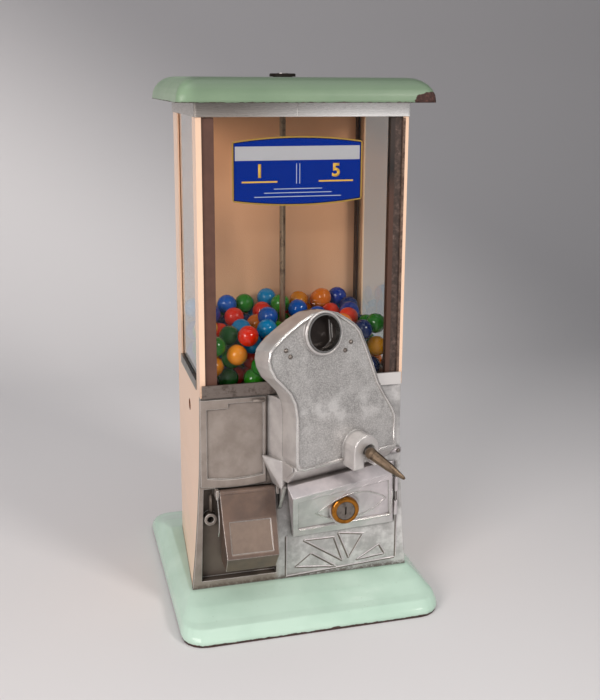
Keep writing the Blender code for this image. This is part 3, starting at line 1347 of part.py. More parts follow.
def ear_span(side):
    if side < 0:
        high = FLAP_LEFT - GAP * 2
        return high - FLAP_LUG_WIDTH, high
    low = FLAP_RIGHT + GAP * 2
    return low, low + FLAP_LUG_WIDTH


# Flap

def flap_side(inset, tuck):
    # Side view about the pivot: (y, z), from the top edge down the front to the foot.
    corners = [
        (FLAP_TOP_PROUD, FLAP_TOP_Z), (FLAP_RIB_PROUD, FLAP_RIB_Z), (FLAP_NOSE_PROUD, FLAP_NOSE_Z),
        (FLAP_FOOT_PROUD, FLAP_FOOT_Z), (-tuck, FLAP_FOOT_Z), (-tuck, FLAP_PIVOT_Z),
    ]
    return [(FLAP_PIVOT_PROUD - proud + inset, z - FLAP_PIVOT_Z) for proud, z in corners]


def make_flap(finishes):
    pivot = frame("flap_pivot", Matrix.Translation((0, CASTING_FRONT - FLAP_PIVOT_PROUD, FLAP_PIVOT_Z)))
    width = FLAP_RIGHT - FLAP_LEFT
    form = prism(bmesh.new(), flap_side(0, FLAP_TUCK), side_plane(FLAP_LEFT), width)
    drop = FLAP_PIVOT_Z - FLAP_FOOT_Z
    middle = (FLAP_LEFT + FLAP_RIGHT) / 2
    for corner in form.verts:
        share = max(-corner.co.z, 0) / drop
        corner.co.x -= (corner.co.x - middle) / width * 2 * FLAP_TAPER * share
    flap = piece("chute_flap", form, finishes["dull_casting"], pivot)
    knuckle = Matrix.Rotation(HALF_TURN / 2, 4, "Y")
    join(flap, rod(bmesh.new(), FLAP_KNUCKLE_RADIUS, FLAP_LEFT, FLAP_RIGHT, 14, knuckle))
    reach = FLAP_NOSE_PROUD + OVERRUN
    inner_left = FLAP_LEFT + FLAP_WALL + FLAP_TAPER
    inner_right = FLAP_RIGHT - FLAP_WALL - FLAP_TAPER
    inner = [
        (FLAP_PIVOT_PROUD - FLAP_RIB_PROUD + FLAP_WALL * 2, FLAP_RIB_Z - FLAP_PIVOT_Z + FLAP_WALL * 2),
        (FLAP_PIVOT_PROUD - FLAP_RIB_PROUD + FLAP_WALL, FLAP_RIB_Z - FLAP_PIVOT_Z),
        (FLAP_PIVOT_PROUD - FLAP_NOSE_PROUD + FLAP_WALL, FLAP_NOSE_Z - FLAP_PIVOT_Z),
        (FLAP_PIVOT_PROUD - FLAP_FOOT_PROUD, FLAP_FOOT_Z - FLAP_PIVOT_Z + FLAP_WALL),
        (reach, FLAP_FOOT_Z - FLAP_PIVOT_Z + FLAP_WALL),
        (reach, FLAP_RIB_Z - FLAP_PIVOT_Z + FLAP_WALL * 2),
    ]
    cut(flap, prism(bmesh.new(), inner, side_plane(inner_left), inner_right - inner_left))
    cut(flap, rod(bmesh.new(), FLAP_PIN_RADIUS + GAP, FLAP_LEFT - OVERRUN, FLAP_RIGHT + OVERRUN, 12, knuckle))
    flap_front(flap, middle, width)
    left = ear_span(-1)[0] + GAP
    right = ear_span(1)[1] - GAP
    pin = rod(bmesh.new(), FLAP_PIN_RADIUS, left, right, 12, knuckle)
    piece("flap_hinge_pin", pin, finishes["machined_steel"], pivot)
    return flap


def flap_front(flap, middle, width):
    # A sunk panel on the lower, steeper part of the front.
    drop = FLAP_RIB_Z - FLAP_NOSE_Z
    out = FLAP_NOSE_PROUD - FLAP_RIB_PROUD
    slope = atan2(out, drop)
    length = hypot(drop, out)
    start = (0, FLAP_PIVOT_PROUD - FLAP_RIB_PROUD, FLAP_RIB_Z - FLAP_PIVOT_Z)
    face = Matrix.Translation(start) @ Matrix.Rotation(HALF_TURN / 2 - slope, 4, "X")
    half = width / 2 - FLAP_TAPER - FLAP_PANEL_MARGIN
    low = (middle - half, -length + FLAP_PANEL_MARGIN, -FLAP_PANEL_DEPTH)
    cut(flap, box(bmesh.new(), low, (middle + half, -FLAP_PANEL_MARGIN / 2, OVERRUN), face))


# Cash door and its lock

def door_section(share):
    start = housing_matrix() @ Vector((DOOR_CREASE_LEFT_S, 0, DOOR_CREASE_Z))
    end = housing_matrix() @ Vector((DOOR_CREASE_RIGHT_S, 0, DOOR_CREASE_Z))
    crease = start.lerp(end, share)
    inward = Vector((-sin(HOUSING_YAW), cos(HOUSING_YAW), 0)) * DOOR_TOP_SETBACK
    back = CASTING_FRONT - GAP
    back_x = mix(DOOR_BACK_LEFT_X, DOOR_BACK_RIGHT_X, share)
    foot_x = mix(DOOR_FOOT_LEFT_X, DOOR_FOOT_RIGHT_X, share)
    foot_z = mix(DOOR_FOOT_LEFT_Z, DOOR_FOOT_RIGHT_Z, share)
    top = crease + inward
    top.z = DOOR_TOP_Z
    top.y = min(top.y, back - GAP)
    return [
        top, crease, Vector((foot_x, back - DOOR_FOOT_PROUD, foot_z)),
        Vector((foot_x, back, foot_z)), Vector((back_x, back, DOOR_TOP_Z)),
    ]


def door_surface(across, up):
    crease = door_section(across)[1]
    foot = door_section(across)[2]
    return foot.lerp(crease, up)


def make_door(finishes):
    place = Vector((DOOR_PIVOT_X, CASTING_FRONT - DOOR_PIVOT_PROUD, 0))
    pivot = frame("cash_door_pivot", Matrix.Translation(place))
    shares = [step / (DOOR_SECTIONS - 1) for step in range(DOOR_SECTIONS)]
    rings = [[point - place for point in door_section(share)] for share in shares]
    door = piece("cash_door", loft(bmesh.new(), rings), finishes["cast_aluminium"], pivot, None, radians(20))
    door["solver"] = "MANIFOLD"
    lock = lock_matrix()
    lock.translation -= place
    hollow_door(door, place)
    sink_panel(door, place)
    seat = -CASH_LOCK_HEAD - GAP
    boss_back = seat - CASH_LOCK_BODY * CASH_LOCK_BOSS_SHARE
    join(door, rod(bmesh.new(), CASH_LOCK_BOSS_RADIUS, boss_back, seat, 24, lock))
    cut(door, rod(bmesh.new(), CASH_LOCK_BODY_RADIUS + GAP, seat - CASH_LOCK_BODY * 2, OVERRUN, 24, lock))
    cut(door, rod(bmesh.new(), CASH_LOCK_HEAD_RADIUS + GAP * 2, seat, OVERRUN, 28, lock))
    rear = DOOR_PIVOT_PROUD - GAP
    for level in (DOOR_FOOT_RIGHT_Z + DOOR_KNUCKLE_LENGTH, DOOR_CREASE_Z - DOOR_KNUCKLE_LENGTH):
        low = level - DOOR_KNUCKLE_LENGTH / 2
        high = level + DOOR_KNUCKLE_LENGTH / 2
        join(door, rod(bmesh.new(), DOOR_KNUCKLE_RADIUS, low, high, 12))
        leaf = (-DOOR_LEAF, rear - DOOR_LEAF_SHEET, low + GAP)
        join(door, box(bmesh.new(), leaf, (-DOOR_PIN_RADIUS, rear - GAP / 3, high - GAP)))
    cut(door, rod(bmesh.new(), DOOR_PIN_RADIUS + GAP, 0, CASTING_TOP, 12))
    low = DOOR_FOOT_RIGHT_Z
    pin = rod(bmesh.new(), DOOR_PIN_RADIUS, low, DOOR_TOP_Z, 10, Matrix.Translation(place))
    piece("door_hinge_pin", pin, finishes["machined_steel"])
    return door


def hollow_door(door, place):
    # Open from behind, with one wall at the front, top, foot and sides
    rings = []
    lift = Vector((0, 0, DOOR_WALL))
    wall = Vector((0, DOOR_WALL, 0))
    behind = Vector((0, OVERRUN, 0))
    for share in DOOR_HOLLOW_SHARES:
        top, crease, foot, foot_back, top_back = door_section(share)
        roof = top.z - DOOR_WALL
        rings.append([point - place for point in (
            Vector((crease.x, crease.y + DOOR_WALL * 2, roof)), crease + wall * 2 - lift * 2,
            foot + wall + lift * 2, foot_back + behind + lift * 2,
            Vector((top_back.x, top_back.y + OVERRUN, roof)))])
    cut(door, loft(bmesh.new(), rings))


def sink_panel(door, place):
    left, right, low, high = DOOR_PANEL_SHARES
    sink = Vector((0, DOOR_PANEL_DEPTH, 0))
    front = Vector((0, -DOOR_PANEL_DEPTH * 2, 0))
    rings = []
    for step in range(DOOR_SECTIONS):
        across = mix(left, right, step / (DOOR_SECTIONS - 1))
        bottom = door_surface(across, low) - place
        top = door_surface(across, high) - place
        rings.append([bottom + front, bottom + sink, top + sink, top + front])
    cut(door, loft(bmesh.new(), rings))


def lock_matrix():
    # The lock's frame: X across, Y up, Z out along the lock's axis, at the face of its head.
    place = Matrix.Translation((CASH_LOCK_X, CASH_LOCK_FRONT, CASH_LOCK_Z))
    return place @ Matrix.Rotation(HALF_TURN / 2, 4, "X")


def make_cash_lock(finishes):
    axis = frame("cash_lock_axis", lock_matrix())
    low = -CASH_LOCK_HEAD - CASH_LOCK_BODY
    bore = CASH_LOCK_PLUG_RADIUS + GAP
    edge = CASH_LOCK_HEAD / 2
    barrel = turned(bmesh.new(), [
        (CASH_LOCK_BODY_RADIUS, low), (CASH_LOCK_BODY_RADIUS, -CASH_LOCK_HEAD),
        (CASH_LOCK_HEAD_RADIUS, -CASH_LOCK_HEAD),
        *arc((CASH_LOCK_HEAD_RADIUS - edge, -edge), edge, 0, HALF_TURN / 2, 3), (bore, 0), (bore, low),
    ], 28, None, True)
    piece("cash_lock_barrel", barrel, finishes["lock_brass"], axis)
    plug = rod(bmesh.new(), CASH_LOCK_PLUG_RADIUS, low, -GAP, 20)
    made = piece("cash_lock_plug", plug, finishes["machined_steel"], axis)
    half = CASH_KEYWAY_WIDTH / 2
    cut(made, box(bmesh.new(), (-half, -CASH_KEYWAY_HEIGHT / 2, -CASH_KEYWAY_DEPTH),
                  (half, CASH_KEYWAY_HEIGHT / 2, OVERRUN)))
    top = low - GAP
    cam = box(bmesh.new(), (-CASH_CAM_WIDTH / 2, -CASH_CAM_WIDTH / 2, top - CASH_CAM_THICKNESS),
              (CASH_CAM_WIDTH / 2, CASH_CAM_LENGTH, top))
    piece("cash_lock_cam", cam, finishes["machined_steel"], axis)


# Cash box and delivery chute

def make_cash_box(finishes):
    low = (BOX_LEFT, BOX_FRONT, BASE_HEIGHT + GAP)
    high = (BOX_RIGHT, BOX_BACK, BOX_TOP)
    made = piece("cash_box", box(bmesh.new(), low, high), finishes["galvanised"])
    inner_low = [value + BOX_WALL for value in low]
    inner_high = (BOX_RIGHT - BOX_WALL, BOX_BACK - BOX_WALL, BOX_TOP + OVERRUN)
    cut(made, box(bmesh.new(), inner_low, inner_high))


def make_chute(finishes):
    toward_drop = Vector((cos(DROP_ANGLE), sin(DROP_ANGLE), 0))
    drop = ROD_AXIS + toward_drop * POCKET_PITCH_RADIUS
    top_z = PLATE_BOTTOM_Z - GAP
    start = Vector((drop.x, drop.y, top_z))
    neck = start - Vector((0, 0, CHUTE_START_LENGTH))
    end = Vector((CHUTE_END_X, CASTING_FRONT + BAY_DEPTH / 2, CHUTE_END_Z))
    # A smooth run: straight down first, then leaning towards the mouth
    route = []
    for step in range(CHUTE_STEPS):
        share = step / (CHUTE_STEPS - 1)
        knee = neck.lerp(end, CHUTE_KNEE_SHARE)
        knee.z = mix(neck.z, end.z, CHUTE_DROP_SHARE)
        route.append(neck.lerp(knee, share).lerp(knee.lerp(end, share), share))
    centres = [start] + route
    # The rings stay level across the run, so that the walls don't twist
    level = (end - neck).cross(Vector((0, 0, 1))).normalized()
    rings_out = []
    rings_in = []
    for index, centre in enumerate(centres):
        ahead = centres[min(index + 1, len(centres) - 1)] - centres[max(index - 1, 0)]
        if index < 1:
            ahead = Vector((0, 0, -1))
        if index == len(centres) - 1:
            ahead = Vector((0, -1, 0))
        ahead.normalize()
        across = (level - ahead * level.dot(ahead)).normalized()
        up = ahead.cross(across)
        for rings, radius in ((rings_out, CHUTE_RADIUS + CHUTE_WALL), (rings_in, CHUTE_RADIUS)):
            circle = arc((0, 0), radius, 0, FULL_TURN * 15 / 16, 15)
            rings.append([centre + across * x + up * y for x, y in circle])
    form = loft(bmesh.new(), rings_out + list(reversed(rings_in)), True)
    piece("delivery_chute", form, finishes["galvanised"])


# Gumballs

def pan_inner():
    low = (-PAN_HALF + PAN_RIM_WIDTH, CABINET_FRONT + SHEET + GAP + PAN_RIM_WIDTH)
    high = (PAN_HALF - PAN_RIM_WIDTH, CABINET_BACK - SHEET - GAP - PAN_RIM_WIDTH)
    return low, high


def floor_height(x, y):
    # Lowest centre height of a ball over the pan's slope, the wheel and the guard.
    along = hypot(x, y - ROD_Y)
    edge = pan_square([atan2(y - ROD_Y, x)], *pan_inner(), 0)[0]
    run = hypot(edge.x, edge.y - ROD_Y) - WELL_RADIUS
    base = WHEEL_TOP + GUARD_LIFT + GUARD_THICKNESS + BALL_RADIUS + BALL_CLEARANCE
    if run < BALL_RADIUS * 2:
        # The pan's side stands upright here, so a ball is inside the well or on the rim.
        inside = along < WELL_RADIUS - BALL_RADIUS - BALL_CLEARANCE
        return base if inside else PAN_RIM_TOP + BALL_RADIUS + BALL_CLEARANCE
    slope = (PAN_RIM_TOP - PAN_WELL_TOP) / run
    steep = BALL_RADIUS * sqrt(1 + slope ** 2) + BALL_CLEARANCE * 2
    return max(PAN_WELL_TOP + (along - WELL_RADIUS) * slope + steep, base)


def pile_limit(y):
    share = (y - CHANNEL_BACK) / (CABINET_BACK - CHANNEL_BACK)
    return mix(PILE_FRONT_TOP, PILE_BACK_TOP, share)


def settle_balls():
    chance = np.random.default_rng(BALL_SEED)
    half = CABINET_HALF - SHEET - SIDE_GLASS - BALL_RADIUS - BALL_CLEARANCE * 3
    low_y = CHANNEL_BACK + BALL_RADIUS + BALL_CLEARANCE
    high_y = CABINET_BACK - SHEET - BALL_RADIUS - BALL_CLEARANCE * 2
    apart = 2 * BALL_RADIUS + BALL_CLEARANCE
    rod_apart = ROD_RADIUS + BALL_RADIUS + BALL_CLEARANCE * 2
    centres = np.empty((0, 3))
    while len(centres) < BALLS:
        tries = chance.uniform((-half, low_y), (half, high_y), (BALL_TRIES, 2))
        best = None
        for x, y in tries:
            if hypot(x, y - ROD_Y) < rod_apart:
                continue
            height = floor_height(x, y)
            if len(centres):
                flat = np.hypot(centres[:, 0] - x, centres[:, 1] - y)
                near = flat < apart
                if near.any():
                    tops = centres[near, 2] + np.sqrt(apart ** 2 - flat[near] ** 2)
                    height = max(height, tops.max())
            if height > pile_limit(y) - BALL_RADIUS:
                continue
            if best is None or height < best[2]:
                best = (x, y, height)
        if best is None:
            break
        centres = np.vstack([centres, best])
    return centres


def make_gumballs(finishes):
    # One body: the outer balls stand half out of a plain heap that fills the rest.
    side = CABINET_HALF - SHEET - SIDE_GLASS - BALL_RADIUS
    low = (-side, CHANNEL_BACK + BALL_RADIUS)
    high = (side, CABINET_BACK - SHEET - BALL_RADIUS)
    foot_z = WHEEL_TOP + GUARD_LIFT + GUARD_THICKNESS + BALL_CLEARANCE
    waist_z = PAN_RIM_TOP + BALL_CLEARANCE * 2
    ways = pan_directions(low, high)
    crown = pan_square(ways, low, high, 0)
    for corner in crown:
        corner.z = pile_limit(corner.y) - BALL_RADIUS * HEAP_TOP_SHARE
    foot = pan_circle(ways, high[1] - ROD_Y - BALL_CLEARANCE, foot_z)
    heap = loft(bmesh.new(), [foot, pan_square(ways, low, high, waist_z), crown])
    made = piece("gumballs", heap, finishes["gum_coating"], None, None, HALF_TURN)
    balls = bmesh.new()
    for centre in settle_balls():
        if is_outer(centre, side, low[1], high[1]):
            bmesh.ops.create_icosphere(balls, subdivisions=1, radius=BALL_RADIUS,
                                       matrix=Matrix.Translation(centre))
    join(made, balls)
    made.modifiers[-1].use_self = True
    clear = rod(bmesh.new(), ROD_RADIUS + BALL_CLEARANCE, 0, CABINET_TOP, 12, Matrix.Translation(ROD_AXIS))
    cut(made, clear)


def is_outer(centre, side, low_y, high_y):
    x, y, z = centre
    margin = BALL_RADIUS / 2
    on_side = abs(x) > side - margin
    on_front = y < low_y + margin or y > high_y - margin
    return on_side or on_front or z > pile_limit(y) - BALL_RADIUS * 3


def build():
    for old in list(bpy.data.objects):
        bpy.data.objects.remove(old, do_unlink=True)
    finishes = make_finishes()
    make_base(finishes)
    make_cabinet(finishes)
    make_cornice(finishes)
    make_lid(finishes)
    make_lid_lock(finishes)
    make_tie_rod(finishes)
    make_glazing(finishes)
    make_sill(finishes)
    make_label(finishes)
    make_pan(finishes)
    make_plate(finishes)
    make_guard(finishes)
    wheel_axis = make_gum_wheel(finishes)
    home = frame("housing_frame", housing_matrix())
    make_housing(finishes, home)
    make_coin_ring(finishes, home)
    make_coin_slide(finishes, home)
    handle_axis = make_handle(finishes, home)
    make_bush(finishes, home)
    make_bracket(finishes, home)
    make_gears(finishes, handle_axis, wheel_axis)
    make_casting(finishes)
    make_flap(finishes)
    make_door(finishes)
    make_cash_lock(finishes)
    make_cash_box(finishes)
    make_chute(finishes)
    make_gumballs(finishes)


build()
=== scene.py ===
# Looks of the counter-top gumball vending machine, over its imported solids
from math import atan2, cos, hypot, pi, radians, sin, sqrt, tan
import bpy
import bmesh
import numpy as np
from mathutils import Matrix, Vector
from mathutils.bvhtree import BVHTree


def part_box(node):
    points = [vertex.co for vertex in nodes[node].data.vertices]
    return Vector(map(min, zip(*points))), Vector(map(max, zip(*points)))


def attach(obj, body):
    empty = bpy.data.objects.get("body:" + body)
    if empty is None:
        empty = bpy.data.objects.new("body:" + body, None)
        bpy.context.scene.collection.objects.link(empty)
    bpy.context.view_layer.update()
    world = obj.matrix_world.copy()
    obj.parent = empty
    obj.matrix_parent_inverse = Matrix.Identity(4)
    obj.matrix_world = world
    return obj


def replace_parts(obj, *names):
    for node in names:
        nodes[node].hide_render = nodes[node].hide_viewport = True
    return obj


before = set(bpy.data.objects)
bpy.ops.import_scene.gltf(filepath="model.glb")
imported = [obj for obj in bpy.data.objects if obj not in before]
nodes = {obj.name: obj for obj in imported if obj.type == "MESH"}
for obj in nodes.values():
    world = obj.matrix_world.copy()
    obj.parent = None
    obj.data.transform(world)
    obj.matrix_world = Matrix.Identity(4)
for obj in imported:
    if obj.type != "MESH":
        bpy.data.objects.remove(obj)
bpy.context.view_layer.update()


# Small helpers

def linear(hexColour):  # sRGB hex to a linear colour
    parts = [int(hexColour[i:i + 2], 16) / 255 for i in (1, 3, 5)]
    return [c / 12.92 if c < 0.04045 else ((c + 0.055) / 1.055) ** 2.4 for c in parts] + [1.0]


def setInputs(tree, made, inputs):  # a socket is linked, anything else is set as the value
    for key, value in inputs.items():
        if isinstance(value, bpy.types.NodeSocket):
            tree.links.new(value, made.inputs[key])
        else:
            made.inputs[key].default_value = value


def addNode(tree, kind, inputs=None, **settings):
    made = tree.nodes.new(kind)
    for name, value in settings.items():
        setattr(made, name, value)
    setInputs(tree, made, inputs or {})
    return made


def startMaterial(name):
    made = bpy.data.materials.new(name)
    made.use_nodes = True
    tree = made.node_tree
    place = addNode(tree, "ShaderNodeTexCoord").outputs["Object"]
    return made, tree, tree.nodes["Principled BSDF"], place


def ramp(tree, value, stops, interpolation="LINEAR"):
    made = addNode(tree, "ShaderNodeValToRGB", {"Fac": value})
    band = made.color_ramp
    band.interpolation = interpolation
    while len(band.elements) < len(stops):
        band.elements.new(0.5)
    for element, (position, colour) in zip(band.elements, stops):
        element.position = position
        element.color = linear(colour)
    return made.outputs["Color"]


def mixed(tree, share, first, second):  # from the first colour to the second, sockets or sRGB hex
    first, second = [linear(colour) if isinstance(colour, str) else colour for colour in (first, second)]
    made = addNode(tree, "ShaderNodeMix", {0: share, 6: first, 7: second}, data_type="RGBA")
    return made.outputs[2]


def sums(tree, operation, *values):
    return addNode(tree, "ShaderNodeMath", dict(enumerate(values)), operation=operation).outputs[0]


def times(tree, first, *others):
    for other in others:
        first = sums(tree, "MULTIPLY", first, other)
    return first


def plus(tree, first, second):
    return sums(tree, "ADD", first, second)


def minus(tree, first, second):
    return sums(tree, "SUBTRACT", first, second)


def most(tree, first, second):
    return sums(tree, "MAXIMUM", first, second)


def magnitude(tree, value):  # how large a value is, whatever its sign
    return sums(tree, "ABSOLUTE", value)


def under(tree, value, limit):
    return sums(tree, "LESS_THAN", value, limit)


def over(tree, value, limit):
    return sums(tree, "GREATER_THAN", value, limit)


def between(tree, value, low, high):  # 0 below low, 1 above high, smooth between
    made = addNode(tree, "ShaderNodeMapRange", {"Value": value, "From Min": low, "From Max": high},
                   interpolation_type="SMOOTHSTEP")
    return made.outputs["Result"]


def fading(tree, value, low, high):  # 1 below low, 0 above high, smooth between
    return minus(tree, 1.0, between(tree, value, low, high))


def axes(tree, place):
    return addNode(tree, "ShaderNodeSeparateXYZ", {0: place}).outputs


def distance(tree, first, second, centre):  # from a centre, along two of the axes
    flat = addNode(tree, "ShaderNodeCombineXYZ", {0: minus(tree, first, centre[0]),
                                                  1: minus(tree, second, centre[1])})
    return addNode(tree, "ShaderNodeVectorMath", {0: flat.outputs[0]}, operation="LENGTH").outputs["Value"]


def noise(tree, place, millimetres, detail=2.0, roughness=0.5):  # its scale fits coordinates in metres
    return addNode(tree, "ShaderNodeTexNoise", {"Vector": place, "Scale": 1000 / millimetres,
                                                "Detail": detail, "Roughness": roughness}).outputs[0]


def bumped(tree, height, strength, depth, normal=None):  # a normal from a height, over a given normal
    inputs = {"Height": height, "Strength": strength, "Distance": depth}
    if normal:
        inputs["Normal"] = normal
    return addNode(tree, "ShaderNodeBump", inputs).outputs[0]


def inScene(name, data):
    made = bpy.data.objects.new(name, data)
    bpy.context.scene.collection.objects.link(made)
    return made


def newPiece(name, mesh, material, body):
    made = inScene(name, mesh)
    mesh.materials.clear()
    mesh.materials.append(material)
    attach(made, body)
    return made


def dress(material, *names):  # a CAD node keeps its mesh and takes the material
    for name in names:
        data = nodes[name].data
        data.materials.clear()
        data.materials.append(material)


def realised(tree, name, mesh, values):
    # Runs a node tree on the mesh, with its inputs set by their identifiers, and gives a plain mesh
    holder = inScene(name + "Source", mesh)
    modifier = holder.modifiers.new("build", "NODES")
    modifier.node_group = tree
    sockets = {item.name: item.identifier for item in tree.interface.items_tree if item.item_type == "SOCKET"}
    for key, value in values.items():
        modifier[sockets[key]] = value
    bpy.context.view_layer.update()
    evaluated = holder.evaluated_get(bpy.context.evaluated_depsgraph_get())
    result = bpy.data.meshes.new_from_object(evaluated)
    holder.modifiers.remove(modifier)
    bpy.data.objects.remove(holder)
    result.name = name
    return result


def startTree(name, sockets):
    tree = bpy.data.node_groups.new(name, "GeometryNodeTree")
    tree.interface.new_socket("Geometry", in_out="INPUT", socket_type="NodeSocketGeometry")
    for label, kind in sockets:
        tree.interface.new_socket(label, in_out="INPUT", socket_type="NodeSocket" + kind)
    tree.interface.new_socket("Geometry", in_out="OUTPUT", socket_type="NodeSocketGeometry")
    return tree, addNode(tree, "NodeGroupInput").outputs, addNode(tree, "NodeGroupOutput").inputs


def endTree(tree, geometry, material, result):  # smooth-shaded, real and dressed
    smooth = addNode(tree, "GeometryNodeSetShadeSmooth", {"Geometry": geometry}).outputs[0]
    real = addNode(tree, "GeometryNodeRealizeInstances", {0: smooth}).outputs[0]
    dressed = addNode(tree, "GeometryNodeSetMaterial", {"Geometry": real, "Material": material}).outputs[0]
    tree.links.new(dressed, result[0])


def pointMesh(name, points, edges=()):
    mesh = bpy.data.meshes.new(name)
    mesh.from_pydata([tuple(point) for point in points], edges, [])
    return mesh


def meshFrom(form, name):
    mesh = bpy.data.meshes.new(name)
    form.to_mesh(mesh)
    form.free()
    return mesh


# Camera, lamps, floor

photoView = {
    "eye": (-0.1841, -0.7387, 0.4034),  # metres
    "turn": -15.19, "rise": 12.53, "roll": 0.347,  # degrees
    "focal": 977.96, "centre": (303.68, 294.89), "frame": (600, 700),  # pixels
    "sensor": 36, "near": 0.02,  # millimetres, metres
}


def placeCamera():
    view = photoView
    turn, rise, roll = radians(view["turn"]), radians(view["rise"]), radians(view["roll"])
    back = Vector((sin(turn) * cos(rise), -cos(turn) * cos(rise), sin(rise)))
    right = Vector((0, 0, 1)).cross(back).normalized()
    up = back.cross(right)
    across = right * cos(roll) + up * sin(roll)
    upward = up * cos(roll) - right * sin(roll)
    data = bpy.data.cameras.new("photoCamera")
    data.sensor_width = view["sensor"]
    data.lens = view["focal"] * view["sensor"] / view["frame"][1]
    data.shift_x = (view["frame"][0] / 2 - view["centre"][0]) / view["frame"][1]
    data.shift_y = (view["centre"][1] - view["frame"][1] / 2) / view["frame"][1]
    data.clip_start = view["near"]
    made = inScene("photoCamera", data)
    made.matrix_world = Matrix.Translation(view["eye"]) @ Matrix((across, upward, back)).transposed().to_4x4()
    bpy.context.scene.camera = made


lampSizes = {  # place, aim, width and height in metres, watts, colour
    "keyRight": ((0.72, -1.15, 1.0), (0.0, 0.0, 0.15), 0.32, 0.32, 8.8, "#fffaf4"),
    "fillLeft": ((-1.3, -1.25, 0.8), (0.0, 0.0, 0.18), 0.8, 0.8, 20.5, "#fff8f4"),
    "glintLeft": ((-0.42, -1.35, 0.78), (0.0, 0.0, 0.25), 0.08, 0.08, 1.8, "#ffffff"),
    "topSoft": ((0.1, -0.1, 1.9), (0.0, 0.0, 0.0), 1.4, 1.4, 7.5, "#ffffff"),
}
skyLight = ("#e6e6e8", 0.37)  # colour, strength


def placeLamps():
    for name, (place, aim, width, height, watts, colour) in lampSizes.items():
        data = bpy.data.lights.new(name, "AREA")
        data.shape = "RECTANGLE"
        data.size, data.size_y = width, height
        data.energy = watts
        data.color = linear(colour)[:3]
        facing = (Vector(place) - Vector(aim)).to_track_quat("Z", "Y").to_matrix().to_4x4()
        inScene(name, data).matrix_world = Matrix.Translation(place) @ facing
    world = bpy.data.worlds.new("studio")
    world.use_nodes = True
    sky = world.node_tree.nodes["Background"]
    sky.inputs["Color"].default_value = linear(skyLight[0])
    sky.inputs["Strength"].default_value = skyLight[1]
    bpy.context.scene.world = world
    bpy.context.scene.view_settings.view_transform = "Standard"


studioSizes = {  # metres; slant is how much of X adds to the height where the paper's painted shade turns it grey
    "near": -2.2, "sweep": 0.55, "bend": 0.5, "top": 2.4, "half": 3.0, "steps": 16,
    "slant": 0.64, "paintedShadeAt": 0.55,
}


def sweepPaper():
    # Matt backdrop paper with a painted falloff of light: pale below, grey above on the right
    size = studioSizes
    material, tree, shader, place = startMaterial("paperSweep")
    x, _, z = axes(tree, place)
    slant = plus(tree, z, times(tree, x, size["slant"]))
    # painted shade: the paper darkens with height and towards the right
    tone = mixed(tree, between(tree, slant, 0.0, size["paintedShadeAt"]), "#dddbdc", "#9a999c")
    setInputs(tree, shader, {"Base Color": tone, "Roughness": 0.9, "Specular IOR Level": 0.2})
    return material


def makeStudio():
    size = studioSizes
    profile = [(size["near"], 0.0)]
    for step in range(size["steps"] + 1):
        angle = pi / 2 * step / size["steps"]
        profile.append((size["sweep"] + size["bend"] * sin(angle), size["bend"] * (1 - cos(angle))))
    profile.append((size["sweep"] + size["bend"], size["top"]))
    points = [(side * size["half"], y, z) for y, z in profile for side in (-1, 1)]
    faces = [(2 * i, 2 * i + 1, 2 * i + 3, 2 * i + 2) for i in range(len(profile) - 1)]
    mesh = bpy.data.meshes.new("studioSweep")
    mesh.from_pydata(points, [], faces)
    mesh.shade_smooth()
    mesh.materials.append(sweepPaper())
    made = inScene("studioSweep", mesh)


placeCamera()
placeLamps()
makeStudio()
print("stage: camera, lamps and floor")


# Enamels

def edgeShare(tree, radius):  # a softened normal, and a share from about 0 on flats to 1 on edges
    soft = addNode(tree, "ShaderNodeBevel", {"Radius": radius}, samples=6).outputs[0]
    plain = addNode(tree, "ShaderNodeNewGeometry").outputs["Normal"]
    alike = addNode(tree, "ShaderNodeVectorMath", {0: soft, 1: plain}, operation="DOT_PRODUCT")
    return soft, fading(tree, alike.outputs["Value"], 0.86, 0.995)


def chippedRim(tree, place, height, rimTop, spots):  # 1 where the enamel has flaked off, at rim and spots
    ragged = times(tree, noise(tree, place, 5, 4, 0.7), 0.0032)
    chips = fading(tree, minus(tree, minus(tree, height, rimTop), ragged), -0.0009, -0.0004)
    for centre, radii in spots:
        inSpot = addNode(tree, "ShaderNodeMapping", {"Vector": place, "Location": centre, "Scale": radii},
                         vector_type="TEXTURE").outputs[0]
        away = addNode(tree, "ShaderNodeVectorMath", {0: inSpot}, operation="LENGTH").outputs["Value"]
        reach = plus(tree, 0.7, times(tree, noise(tree, place, 5, 4), 0.6))
        chips = most(tree, chips, under(tree, away, reach))
    return chips


def porcelainEnamel(name, colours, gloss, rimTop, spots, frontShade=None):
    # Fired glass enamel on pressed steel: glossy with a slight ripple, chipped to dark iron along the rim, with
    # painted shade on the front where asked
    material, tree, shader, place = startMaterial(name)
    x, y, z = axes(tree, place)
    tone = mixed(tree, between(tree, noise(tree, place, 45, 3), 0.35, 0.7), *colours)
    specks = between(tree, noise(tree, place, 1.6, 1), 0.75, 0.79)
    tone = mixed(tree, times(tree, specks, 0.3), tone, "#6d7a68")
    if frontShade:  # painted shade: the front is darker, more so up its slope, inside the given fades
        front = times(tree, between(tree, x, *frontShade["side"]), fading(tree, y, *frontShade["front"]))
        share = plus(tree, 0.42, times(tree, between(tree, z, *frontShade["rise"]), 0.58))
        tone = mixed(tree, times(tree, front, share), tone, "#5d705b")
    chips = chippedRim(tree, place, z, rimTop, spots)
    rust = noise(tree, place, 1.8, 5, 0.7)
    iron = ramp(tree, rust, [(0.3, "#241a17"), (0.55, "#47302b"), (0.75, "#7a5348")])
    rough = plus(tree, gloss, times(tree, chips, 0.6))
    height = minus(tree, times(tree, noise(tree, place, 9, 1), 0.35), times(tree, chips, 2.0))
    setInputs(tree, shader, {
        "Base Color": mixed(tree, chips, tone, iron), "IOR": 1.5, "Specular IOR Level": 0.4,
        "Roughness": plus(tree, rough, times(tree, noise(tree, place, 12, 3), 0.08)),
        "Normal": bumped(tree, height, 0.35, 0.0004, edgeShare(tree, 0.003)[0])})
    return material


